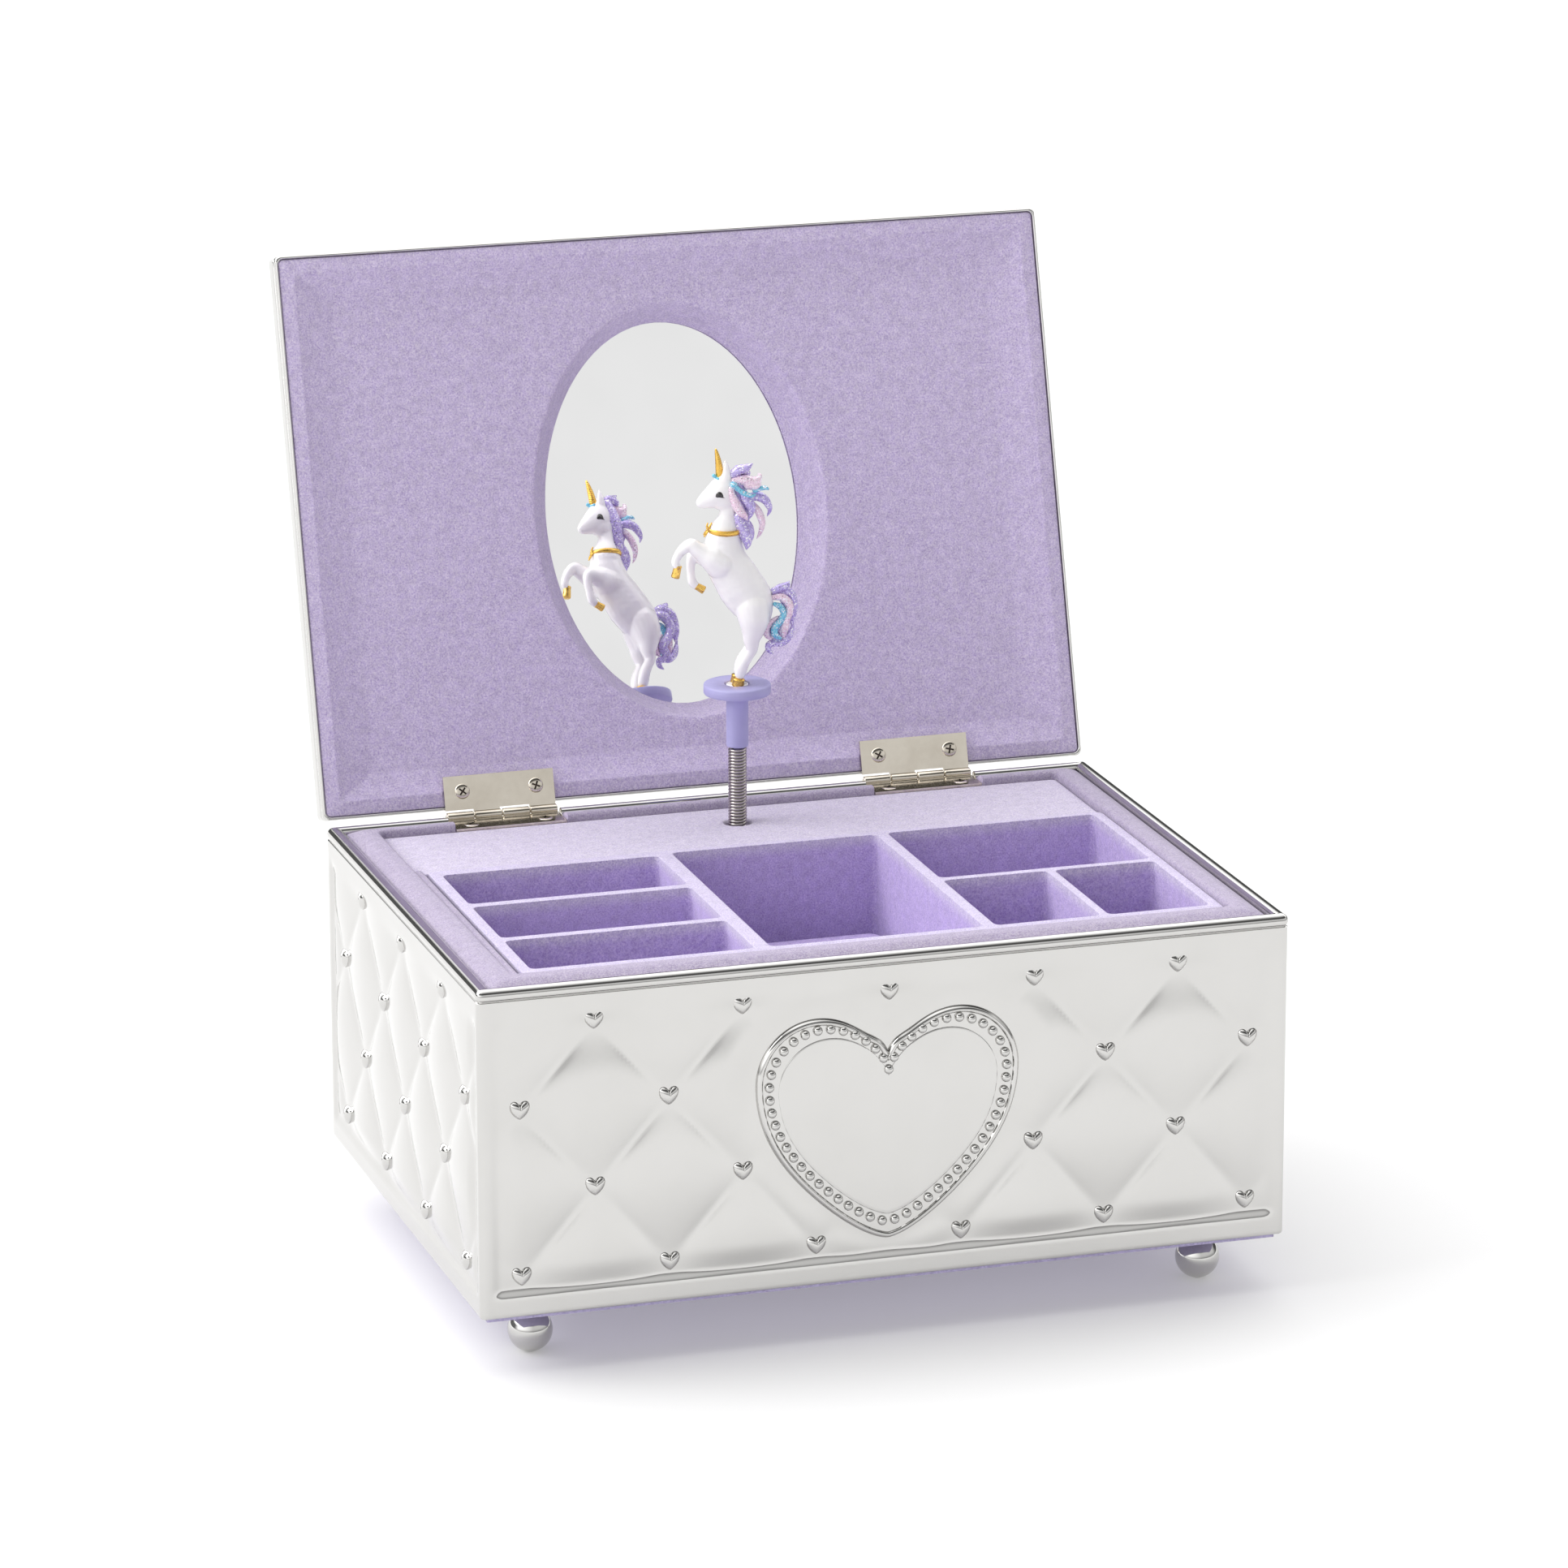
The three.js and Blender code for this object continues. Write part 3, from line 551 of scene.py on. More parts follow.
def wall_outline(step):
    """Points round the body: (x, y, normal x, normal y, side, distance along the side)."""
    points = []
    for number, (out, along, reach, half, _) in enumerate(WALLS):
        flat = half - CORNER_R
        count = int(2 * flat / step)
        for i in range(count + 1):
            u = -flat + 2 * flat * i / count
            points.append((out[0] * reach + along[0] * u, out[1] * reach + along[1] * u, *out, number, u))
        centre_x = out[0] * (reach - CORNER_R) + along[0] * flat
        centre_y = out[1] * (reach - CORNER_R) + along[1] * flat
        for k in range(1, 6):
            a = math.pi / 2 * k / 6
            nx = out[0] * math.cos(a) + along[0] * math.sin(a)
            ny = out[1] * math.cos(a) + along[1] * math.sin(a)
            points.append((centre_x + CORNER_R * nx, centre_y + CORNER_R * ny, nx, ny, -1, 0))
    return np.array(points)


# rolled rim from the wall over the top to the inside: (inward, z)
RIM_PROFILE = [
    (0.0, 81.3), (0.0, 81.6), (0.25, 81.75), (0.3, 81.95), (0.12, 82.1), (-0.02, 82.35), (-0.1, 82.8),
    (-0.06, 83.3), (0.15, 83.75), (0.55, 84.15), (1.0, 84.36), (1.5, 84.4), (2.0, 84.3), (2.35, 84.05),
    (2.6, 83.6), (2.65, 83.0), (2.65, 82.2),
]
# lower edge of the wall from the inside to the outside: (inward, z)
SKIRT_PROFILE = [(1.4, 15.0), (1.4, 13.3), (1.2, 12.98), (0.8, 12.9), (0.4, 12.95), (0.12, 13.15), (0.0, 13.5)]


def silver_body():
    """The four embossed walls and the rolled rim as one sheet with an inner side."""
    outline = wall_outline(0.8)
    zs = np.arange(14, 81.2, 0.8)
    rows = []
    side = outline[:, 4]
    pitch = np.where(side % 2 == 0, QUILT_X, QUILT_Y)
    half = np.where(side % 2 == 0, HALF_X, HALF_Y)
    for inward, z in SKIRT_PROFILE:
        rows.append((np.full(len(outline), -inward), z))
    for z in zs:
        level = np.full(len(outline), z)
        clear = np.where(side == 0, heart_clearance(outline[:, 5], level), 1)
        relief = panel_relief(outline[:, 5], level, half, pitch, clear)
        relief[side < 0] = 0
        rows.append((relief, z))
    # the flange inside the rim is wider on the short sides
    wider = np.abs(outline[:, 2]) * 0.245 - np.abs(outline[:, 3]) * 0.057
    for inward, z in RIM_PROFILE:
        rows.append((-inward * (1 + wider * np.clip((inward - 0.5) / 2.1, 0, 1)), z))
    rows.append((np.full(len(outline), -WALL), 82.2))
    verts = []
    for offset, z in rows:
        x = outline[:, 0] + outline[:, 2] * offset
        y = outline[:, 1] + outline[:, 3] * offset
        limit_x = HALF_X + offset
        limit_y = HALF_Y + offset
        x = np.clip(x, -limit_x, limit_x)
        y = np.clip(y, -limit_y, limit_y)
        verts.append(np.stack([x, y, np.full(len(x), z)], 1))
    verts = np.concatenate(verts)
    faces = grid_faces(len(rows), len(outline), wrap_cols=True, wrap_rows=True)
    body = mesh_object("silver_body", verts, faces, SILVER)
    recalc(body)
    return body


def small_heart(centre, right, up, out, size, height, rings=5, count=36):
    """Vertices and faces of one puffed heart lying on a plane."""
    flat = heart_points(size, size * 0.92, -size * 0.46, count, 0)
    verts = []
    faces = ring_faces(rings, count)
    for r in range(rings + 1):
        share = r / rings
        shrink = math.cos(share * math.pi / 2)
        lift = -0.35 + (height + 0.35) * math.sin(share * math.pi / 2)
        if r == rings:
            verts.append(centre + out * lift)
            continue
        for x, z in flat:
            verts.append(centre + right * (x * shrink) + up * (z * shrink) + out * lift)
    top = rings * count
    for c in range(count):
        faces.append(((rings - 1) * count + c, top, (rings - 1) * count + (c + 1) % count))
    faces.append(tuple(range(count)))
    return verts, faces


def joined(name, lots, material):
    """One mesh out of several lists of (verts, faces)."""
    verts = []
    faces = []
    for one_verts, one_faces in lots:
        base = len(verts)
        verts += [tuple(v) for v in one_verts]
        faces += [tuple(i + base for i in face) for face in one_faces]
    obj = mesh_object(name, verts, faces, material)
    recalc(obj)
    return obj


def quilt_hearts():
    """The small hearts on the seams' crossings, on all four walls."""
    lots = []
    up = Vector((0, 0, 1))
    outer = heart_points(HEART_W + 3, HEART_H + 3, HEART_LOW - 1.5, 120)
    for number, (outward, along, reach, half, pitch) in enumerate(WALLS):
        out = Vector((*outward, 0))
        right = Vector((*along, 0))
        for row in range(4):
            z = QUILT_TOP - row * QUILT_Z / 2
            shift = 0 if row % 2 == 0 else 0.5
            for col in range(-4, 5):
                u = (col + shift) * pitch
                if abs(u) > half - 6:
                    continue
                if number == 0 and inside_outline(outer, u, z):
                    continue
                centre = out * (reach - 0.55) + right * u + up * z
                lots.append(small_heart(centre, right, up, out, SMALL_HEART, 1.1))
    return joined("quilt_hearts", lots, SILVER)


def inside_outline(points, x, z):
    """Whether (x, z) is inside the closed outline."""
    hit = False
    for (x1, z1), (x2, z2) in zip(points, np.roll(points, -1, axis=0)):
        if (z1 > z) != (z2 > z) and x < (x2 - x1) * (z - z1) / (z2 - z1) + x1:
            hit = not hit
    return hit


def heart_rim():
    """The smooth raised moulding round the big heart."""
    count = 420
    path = even_points(heart_points(HEART_W, HEART_H, HEART_LOW, 900, notch=2.6), count)
    ahead = np.roll(path, -3, axis=0) - np.roll(path, 3, axis=0)
    ahead /= np.linalg.norm(ahead, axis=1)[:, None]
    inward = np.stack([ahead[:, 1], -ahead[:, 0]], 1)
    centre = path.mean(axis=0)
    if np.mean(np.sum(inward * (centre - path), axis=1)) < 0:
        inward = -inward
    # (inward, stand off the wall)
    profile = [
        (-0.4, -0.95), (-0.35, -0.4), (-0.2, -0.1), (0.02, 0.16), (0.22, 0.36), (0.5, 0.46), (0.78, 0.36),
        (0.98, 0.14), (1.1, -0.05), (1.2, -0.4),
    ]
    verts = []
    for into, lift in profile:
        for (x, z), (ix, iz) in zip(path, inward):
            verts.append((x + ix * into, -HALF_Y - lift, z + iz * into))
    faces = grid_faces(len(profile), count, wrap_cols=True, wrap_rows=True)
    rim = mesh_object("heart_rim", verts, faces, SILVER)
    recalc(rim)
    return rim


def ball(centre, radius, seg, rings, flat=1.0):
    """A ball as (verts, faces), squeezed along Y by flat."""
    verts = []
    for r in range(1, rings):
        a = math.pi * r / rings
        for s in range(seg):
            b = 2 * math.pi * s / seg
            verts.append((centre[0] + radius * math.sin(a) * math.cos(b),
                          centre[1] + flat * radius * math.sin(a) * math.sin(b),
                          centre[2] + radius * math.cos(a)))
    faces = ring_faces(rings - 1, seg)
    top = len(verts)
    verts.append((centre[0], centre[1], centre[2] + radius))
    verts.append((centre[0], centre[1], centre[2] - radius))
    last = (rings - 2) * seg
    for s in range(seg):
        s2 = (s + 1) % seg
        faces.append((top, s, s2))
        faces.append((top + 1, last + s2, last + s))
    return verts, faces


def heart_beads():
    """The string of balls inside the moulding."""
    path = heart_points(52.2, 43.6, 25.4, 900, notch=0.4)
    lots = [ball((x, -HALF_Y - 0.05, z), 1.05, 18, 12, 0.95) for x, z in even_points(path, BEADS)]
    return joined("heart_beads", lots, SILVER)


def heart_field():
    """The flat sheet inside the moulding, under the beads, with the plain plate standing on it."""
    points = heart_points(HEART_W - 1.6, HEART_H - 1.6, HEART_LOW + 1.0, 240, notch=2.2)
    verts = [(x, y, z) for y in (-63.45, -62.4) for x, z in points]
    n = len(points)
    faces = [tuple(range(n)), tuple(range(n, 2 * n))[::-1]]
    faces += [(i, (i + 1) % n, n + (i + 1) % n, n + i) for i in range(n)]
    field = joined("heart_field", [(verts, faces)], SILVER)
    smooth_by_angle(field)
    return field


def heart_plate():
    """The plain plate in the middle of the heart, with a rounded edge."""
    points = heart_points(48, 40, 27.0, 200, notch=0.2)
    # (shrink, y)
    levels = [(1.0, -63.3), (1.0, -63.52), (0.997, -63.58), (0.99, -63.62), (0.96, -63.62)]
    mid_x, mid_z = points.mean(axis=0)
    verts = []
    for scale, y in levels:
        verts += [(mid_x + (x - mid_x) * scale, y, mid_z + (z - mid_z) * scale) for x, z in points]
    n = len(points)
    faces = grid_faces(len(levels), n, wrap_cols=True)
    faces.append(tuple(range(n)))
    faces.append(tuple(range((len(levels) - 1) * n, len(levels) * n)))
    plate = mesh_object("plain_heart_plate", verts, faces, SILVER)
    recalc(plate)
    smooth_by_angle(plate)
    return plate


body = silver_body()
cut_with(body, hinge_pockets(13, 55.6, 67, 82.3, 90, SILVER))
smooth_by_angle(body, 40)
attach(body, "case")
for made in (quilt_hearts(), heart_rim(), heart_beads(), heart_field()):
    rides(made, "case", "silver")
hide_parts("case_shell")
rides(heart_plate(), "case", "silver", "heart_plate")


# ---- lined pieces -------------------------------------------------------


def round_rect(x0, x1, y0, y1, r, z, per_corner=6, per_side=12):
    """A closed loop of points round a rectangle with rounded corners."""
    r = max(0.01, min(r, (x1 - x0) / 2, (y1 - y0) / 2))
    corners = [(x1 - r, y0 + r, -90), (x1 - r, y1 - r, 0), (x0 + r, y1 - r, 90), (x0 + r, y0 + r, 180)]
    points = []
    for i, (cx, cy, start) in enumerate(corners):
        for k in range(per_corner + 1):
            a = math.radians(start + 90 * k / per_corner)
            points.append((cx + r * math.cos(a), cy + r * math.sin(a), z))
        nx, ny, nstart = corners[(i + 1) % 4]
        a = math.radians(nstart)
        end = (nx + r * math.cos(a), ny + r * math.sin(a))
        here = points[-1]
        for k in range(1, per_side):
            t = k / per_side
            points.append((here[0] + (end[0] - here[0]) * t, here[1] + (end[1] - here[1]) * t, z))
    return points


def loft(name, loops, material, wrap=False, caps=True):
    """Loops with equal numbers of points joined in order."""
    n = len(loops[0])
    verts = [p for one in loops for p in one]
    faces = grid_faces(len(loops), n, wrap_cols=True, wrap_rows=wrap)
    if caps and not wrap:
        faces.append(tuple(range(n)))
        faces.append(tuple(range((len(loops) - 1) * n, len(loops) * n)))
    obj = mesh_object(name, verts, faces, material)
    recalc(obj)
    return obj


def centred(hx, hy, r, z, **more):
    """The same loop about the middle of the box."""
    return round_rect(-hx, hx, -hy, hy, r, z, **more)


def ledge():
    """The lined ledge round the top of the box."""
    # outside: (half width, half depth, corner radius, z)
    loops = [centred(*one) for one in (
        (85.3, 60.7, 1.2, 81.8), (85.3, 60.7, 1.2, 82.9), (85.1, 60.5, 1.2, 83.25), (84.5, 59.9, 1.3, 83.6),
        (83.2, 58.6, 1.8, 84.3), (82.6, 58.0, 2.1, 84.58), (82.0, 57.4, 2.3, 84.7),
    )]
    # inside: (half width, front, back, corner radius, z)
    loops += [round_rect(-x, x, y0, y1, r, z) for x, y0, y1, r, z in (
        (79.9, -55.1, 56.6, 2.0, 84.7), (79.4, -54.6, 56.1, 1.8, 84.62), (79.1, -54.3, 55.8, 1.6, 84.35),
        (79, -54.2, 55.7, 1.5, 83.9), (79, -54.2, 55.7, 1.5, 81.8),
    )]
    # lined with the darker copy of the flock: painted shade on the ledge
    obj = loft("ledge", loops, LEDGE_FLOCK_PAINTED_SHADE, wrap=True)
    cut_with(obj, hinge_pockets(12.9, 55.4, 66.5, 82.5, 90, FLOCK))
    smooth_by_angle(obj, 50)
    return obj


def ledge_lip():
    """The low rounded lip of the lining beside the tray, along the left and the front."""
    # (share of the lip's width, z)
    profile = [
        (0, 81.9), (0, 83.6), (0.14, 83.72), (0.28, 83.95), (0.48, 84.05), (0.7, 83.98), (0.88, 83.72),
        (1, 83.3), (1, 81.9),
    ]
    radius = 1.5
    stations = [[(-79.3 + 2.5 * t, 25.4, z) for t, z in profile]]
    for k in range(7):
        a = math.pi + math.pi / 2 * k / 6
        stations.append([(-79.3 + 2.5 * t + radius + radius * math.cos(a),
                          -54.5 + 2 * t + radius + radius * math.sin(a), z) for t, z in profile])
    stations.append([(79.3, -54.5 + 2 * t, z) for t, z in profile])
    # the lip takes the darker copy of the flock: painted shade
    obj = loft("ledge_lip", stations, LEDGE_FLOCK_PAINTED_SHADE)
    smooth_by_angle(obj, 50)
    return obj


def deck():
    """The lined rear deck with the spring's hole."""
    def edge(inset, z):
        return round_rect(-78.7 + inset, 78.7 - inset, 25.8 + inset, 55.4 - inset, 0.8, z)

    outer = np.array(edge(0, 0))
    angle = np.arctan2(outer[:, 1] - SPIN_Y, outer[:, 0])

    def ring(r, z):
        return [(r * math.cos(a), SPIN_Y + r * math.sin(a), z) for a in angle]

    loops = [
        ring(2.95, 80.5), edge(0, 80.5), edge(0, 82.5), edge(0.12, 82.8), edge(0.45, 82.97), edge(0.8, 83),
        ring(3.9, 83), ring(3.4, 82.93), ring(3.08, 82.7), ring(2.95, 82.3),
    ]
    # lined with the paler copy of the flock: painted light on the deck
    obj = loft("deck", loops, DECK_FLOCK_PAINTED_LIGHT, wrap=True)
    smooth_by_angle(obj, 50)
    return obj


# the tray's wells: (left, right, front, back)
WELLS = (
    (-73.5, -25, -0.3, 22.2), (-73.5, -25, -26, -2.7), (-73.5, -25, -49, -28.3), (-21.5, 25.5, -49, 23.5),
    (28.2, 76.4, -12.4, 23.9), (28.2, 51.8, -49, -14.4), (53.6, 76.4, -49, -14.4),
)


def tray():
    """The loose lined tray; its wells have rounded corners and soft rims."""
    def edge(out, z):
        return round_rect(-76 - out, 78.7 + out, -51.9 - out, 25.4 + out, 1.6, z, per_side=4)

    loops = [
        edge(-1.0, 57.9), edge(-0.5, 58.2), edge(-0.5, 80.8), edge(-0.35, 81.3), edge(0, 81.6), edge(0, 83.5),
    ]
    # the tray's flock carries painted shade inside the wells
    obj = loft("tray", loops, TRAY_FLOCK_WELL_SHADE)
    cutters = []
    for x0, x1, y0, y1 in WELLS:
        well = [round_rect(x0, x1, y0, y1, 1.4, z, per_side=3) for z in (59.9, 86)]
        cutters.append(loft("cut", well, TRAY_FLOCK_WELL_SHADE))
    cut_with(obj, cutters)
    bevel(obj, 0.6, 4, 50)
    applied(obj)
    smooth_by_angle(obj, 50)
    return obj


def centre_pad():
    """The raised step in the middle compartment."""
    def edge(inset, z):
        return round_rect(-19.2 + inset, 23.2 - inset, -46.7 + inset, 15.5 - inset, 2.2, z)

    loops = [edge(0, 59.9), edge(0, 62.9), edge(0.12, 63.3), edge(0.4, 63.58), edge(0.9, 63.7)]
    # the step sits down in a well, so it takes the painted shade of the tray's flock
    return loft("centre_pad", loops, TRAY_FLOCK_WELL_SHADE)


rides(ledge(), "case", "flock", "ledge_frame")
rides(ledge_lip(), "case", "flock")
rides(deck(), "case", "flock", "rear_deck")
rides(tray(), "case", "flock", "tray")
rides(centre_pad(), "case", "flock", "tray_centre_step")


# ---- feet ---------------------------------------------------------------


def foot_profile():
    """(r, z) of a ball foot with a waist and a flange at its top."""
    profile = [(0, 0), (1.1, 0.02)]
    for k in range(2, 22):
        a = math.pi * k / 24
        profile.append((FOOT_R * math.sin(a), FOOT_R - FOOT_R * math.cos(a)))
    profile += [(2.5, 9.25), (2.45, 9.8), (2.5, 10.6), (2.9, 11.2), (3.3, 11.5), (3.4, 11.89), (0, 11.89)]
    return profile


FOOT_SPOTS = {
    "foot_front_left": (-74.6, -49.2), "foot_front_right": (74.6, -49.2),
    "foot_back_right": (74.6, 49.2), "foot_back_left": (-74.6, 49.2),
}
for foot_name, spot in FOOT_SPOTS.items():
    rides(lathe("ball_" + foot_name, foot_profile(), SILVER, spot, 48), "case", "silver", foot_name)


# ---- lid ----------------------------------------------------------------


def dome_height(depth):
    """Height of the closed lid's outside, by the distance in from its edge."""
    depths = (0, 0.6, 1.5, 3, 4.7, 7.5, 10.4, 15, 19.9, 26, 32.9, 62)
    heights = (90.4, 91.5, 92.6, 93.9, 95.0, 96.4, 97.6, 98.9, 99.9, 100.8, 101.2, 101.3)
    return np.interp(depth, depths, heights)


def close_last_loop(obj, count):
    """Caps the last loop of a loft."""
    with editing(obj) as bm:
        bm.verts.ensure_lookup_table()
        last = bm.verts[len(bm.verts) - count:]
        bm.faces.new(last).smooth = True
        bmesh.ops.recalc_face_normals(bm, faces=bm.faces)
        if bm.calc_volume(signed=True) < 0:
            bmesh.ops.reverse_faces(bm, faces=bm.faces)


def lid_shell():
    """Rim, side wall and quilted dome of the lid as one sheet with an inner side."""
    per = {"per_corner": 8, "per_side": 104}
    loops = []
    # (inset, z) of the inner lip and the rim
    edge = [
        (1.2, 89.5), (0.76, 86.5), (0.74, 85.1), (0.66, 84.9), (0.5, 84.8), (0.3, 84.84), (0.12, 85.05),
        (0.02, 85.5), (0, 86.2), (0.25, 86.5), (0.3, 86.8), (0.02, 87.1), (0, 87.6), (0, 90.0),
    ]
    for inset, z in edge:
        loops.append(centred(HALF_X - inset, LID_HALF_Y - inset, CORNER_R, z, **per))
    for depth in np.concatenate([np.linspace(0, 8, 12), np.linspace(8.8, 62.2, 62)]):
        radius = CORNER_R + 0.5 * depth
        ring = np.array(centred(HALF_X - depth, LID_HALF_Y - depth, radius, 0, **per))
        puff = pillow(ring[:, 0], ring[:, 1], QUILT_X, QUILT_Y)
        fade = smoothstep(6, 12, depth)
        ring[:, 2] = dome_height(depth) - fade * 0.9 * (1 - puff)
        loops.append([tuple(p) for p in ring])
    obj = loft("lid_silver", loops, SILVER, caps=False)
    close_last_loop(obj, len(loops[0]))
    skin = obj.modifiers.new("thickness", "SOLIDIFY")
    skin.thickness = 0.5 * MM
    skin.offset = -1
    applied(obj)
    smooth_by_angle(obj, 45)
    return obj


def lid_hearts():
    """The small hearts on the seams' crossings of the dome."""
    lots = []
    right = Vector((1, 0, 0))
    for row in range(-3, 4):
        for col in range(-5, 6):
            if (row + col) % 2:
                continue
            x = col * QUILT_X / 2
            y = row * QUILT_Y / 2
            depth = min(HALF_X - abs(x), LID_HALF_Y - abs(y))
            if depth < 9:
                continue
            slope = float(dome_height(depth + 1) - dome_height(depth - 1)) / 2
            if HALF_X - abs(x) < LID_HALF_Y - abs(y):
                normal = Vector((math.copysign(slope, x), 0, 1)).normalized()
            else:
                normal = Vector((0, math.copysign(slope, y), 1)).normalized()
            across = (right - normal * right.dot(normal)).normalized()
            along = normal.cross(across)
            centre = Vector((x, y, float(dome_height(depth)) - 0.9))
            lots.append(small_heart(centre, across, along, normal, SMALL_HEART, 1.3))
    return joined("lid_hearts", lots, SILVER)


def lid_lining():
    """The lined tray of the lid: lip, cove, flat panel and the oval opening over the mirror."""
    per = {"per_corner": 6, "per_side": 40}
    base = np.array(centred(76.4, 52.9, 0.6, 87.3, **per))
    angle = np.arctan2(base[:, 1] / OVAL_OUT[1], base[:, 0] / OVAL_OUT[0])

    def rect(hx, hy, r, z):
        return centred(hx, hy, r, z, **per)

    def egg(grow, z, oval=OVAL_OUT):
        return [((oval[0] + grow) * math.cos(a), (oval[1] + grow) * math.sin(a), z) for a in angle]

    # outer wall, lip, cove and edge of the panel: (half width, half depth, corner radius, z)
    loops = [rect(*one) for one in (
        (87.05, 60.75, 1, 88.5), (88.1, 61.8, 1, 86.6), (88.1, 61.8, 1, 85.6), (87.9, 61.6, 1, 85.15),
        (87.3, 61.0, 1, 84.92), (85.9, 59.6, 1, 84.95), (85.2, 58.9, 1, 84.82), (84.8, 58.55, 0.9, 84.8),
        (84.5, 58.3, 0.8, 84.95), (84.2, 58.05, 0.7, 85.1), (80.5, 55.6, 0.6, 86.25),
        (77.0, 53.3, 0.6, 87.15), (76.4, 52.9, 0.6, 87.28), (75.8, 52.5, 0.8, 87.3),
    )]
    loops += [
        egg(0.9, 87.3), egg(0.4, 87.35), egg(0.1, 87.55), egg(0, 87.85), egg(0.2, 95.1, OVAL_IN),
        egg(0.3, 95.3, OVAL_IN), egg(3.2, 95.3), egg(3.2, 90.5), rect(84.5, 58.5, 1, 88.7),
    ]
    obj = loft("lid_lining", loops, FLOCK, wrap=True)
    cut_with(obj, hinge_pockets(12.9, 54.9, 66.5, 80, 85.05, FLOCK))
    smooth_by_angle(obj, 40)
    return obj


lid_metal = lid_shell()
lid_small_hearts = lid_hearts()
lining = lid_lining()
for made in (lid_metal, lid_small_hearts, lining):
    opened(made)
rides(lid_metal, "lid", "silver", "lid_shell")
rides(lid_small_hearts, "lid", "silver")
rides(lining, "lid", "flock", "lid_liner")


# ---- hinges -------------------------------------------------------------


def laid_on_pin(obj, x):
    """Lays a lathed piece along the hinge's pin, from x."""
    place = Matrix.Translation((x * MM, PIN_Y * MM, PIN_Z * MM))
    obj.data.transform(place @ Matrix.Rotation(math.radians(90), 4, "Y"))
    return obj


def hinge_leaf(name, x, first, z0, z1, y0):
    """A stamped leaf with two curled knuckles and two screw holes, for the closed lid."""
    leaf = mesh_object(name, *cube_data(x - LEAF_HALF, x + LEAF_HALF, y0, 62.7, z0, z1), NICKEL, False)
    length = KNUCKLE_LENGTH
    rolled = [(0, 0), (0.95, 0), (1.1, 0.12), (1.1, length - 0.12), (0.95, length), (0, length)]
    knuckles = []
    for i in range(first, 4, 2):
        start = x - LEAF_HALF + i * KNUCKLE_PITCH
        knuckles.append(laid_on_pin(lathe("knuckle", rolled, NICKEL, steps=40), start))
        tongue = cube_data(start + 0.06, start + length - 0.06, 62.5, PIN_Y, z0 + 0.01, z1 - 0.01)
        knuckles.append(mesh_object("tongue", *tongue, NICKEL, False))
    cut_with(leaf, knuckles, "UNION")
    drill = [(0, z0 - 1), (SCREW_HOLE_R, z0 - 1), (SCREW_HOLE_R, z1 + 1), (0, z1 + 1)]
    cut_with(leaf, [lathe("hole", drill, NICKEL, (x + side_x, SCREW_Y), 32) for side_x in SCREW_X])
    bevel(leaf, 0.09, 2, 40)
    applied(leaf)
    smooth_by_angle(leaf, 30)
    for poly in leaf.data.polygons:
        if poly.area > LEVEL_FACE:
            poly.use_smooth = False
    return leaf


def pan_screw(name, x, y, z, up):
    """A domed cross-head screw; z is the height of the leaf's face it sits on."""
    profile = [
        (0, -3.5), (0.8, -3), (0.9, -0.4), (1.7, -0.12), (1.74, 0.02), (1.68, 0.16), (1.5, 0.28), (1.1, 0.37),
        (0.6, 0.41), (0, 0.42),
    ]
    obj = lathe(name, profile, NICKEL, steps=48)
    slots = []
    for turn in (18, 108):
        # the slot walls take the dark nickel: painted shade inside the slots
        bar = mesh_object("slot", *cube_data(-1.0, 1.0, -0.2, 0.2, -0.22, 1), SLOT_SHADE, False)
        bar.data.transform(Matrix.Rotation(math.radians(turn + x), 4, "Z"))
        slots.append(bar)
    cut_with(obj, slots)
    if not up:
        obj.data.transform(Matrix.Rotation(math.pi, 4, "X"))
    obj.data.transform(Matrix.Translation((x * MM, y * MM, z * MM)))
    smooth_by_angle(obj, 35)
    return obj


def hinge(side, x):
    """Two leaves, the pin and four screws; the upper leaf and its screws open with the lid."""
    low = hinge_leaf(f"hinge_{side}_leaf_low", x, 0, 82.8, 83.45, 55.7)
    rides(low, "case", "nickel", f"hinge_{side}_case_leaf")
    high = hinge_leaf(f"hinge_{side}_leaf_high", x, 1, 84.1, 84.75, 55.1)
    opened(high)
    rides(high, "lid", "nickel", f"hinge_{side}_lid_leaf")
    rod = [(0, -0.15), (0.35, -0.15), (0.5, 0), (0.5, 25.3), (0.35, 25.45), (0, 25.45)]
    pin = laid_on_pin(lathe(f"hinge_{side}_rod", rod, NICKEL, steps=24), x - LEAF_HALF)
    rides(pin, "case", "nickel", f"hinge_{side}_pin")
    for k, side_x in enumerate(SCREW_X):
        low_screw = pan_screw(f"hinge_{side}_low_screw_{k + 1}", x + side_x, SCREW_Y, 83.3, True)
        rides(low_screw, "case", "nickel", f"hinge_{side}_case_screw_{k + 1}")
        high_screw = pan_screw(f"hinge_{side}_high_screw_{k + 1}", x + side_x, SCREW_Y, 84.2, False)
        opened(high_screw)
        rides(high_screw, "lid", "nickel", f"hinge_{side}_lid_screw_{k + 1}")


for hinge_side, hinge_x in zip(("left", "right"), HINGE_X):
    hinge(hinge_side, hinge_x)


# ---- spring and turntable -----------------------------------------------


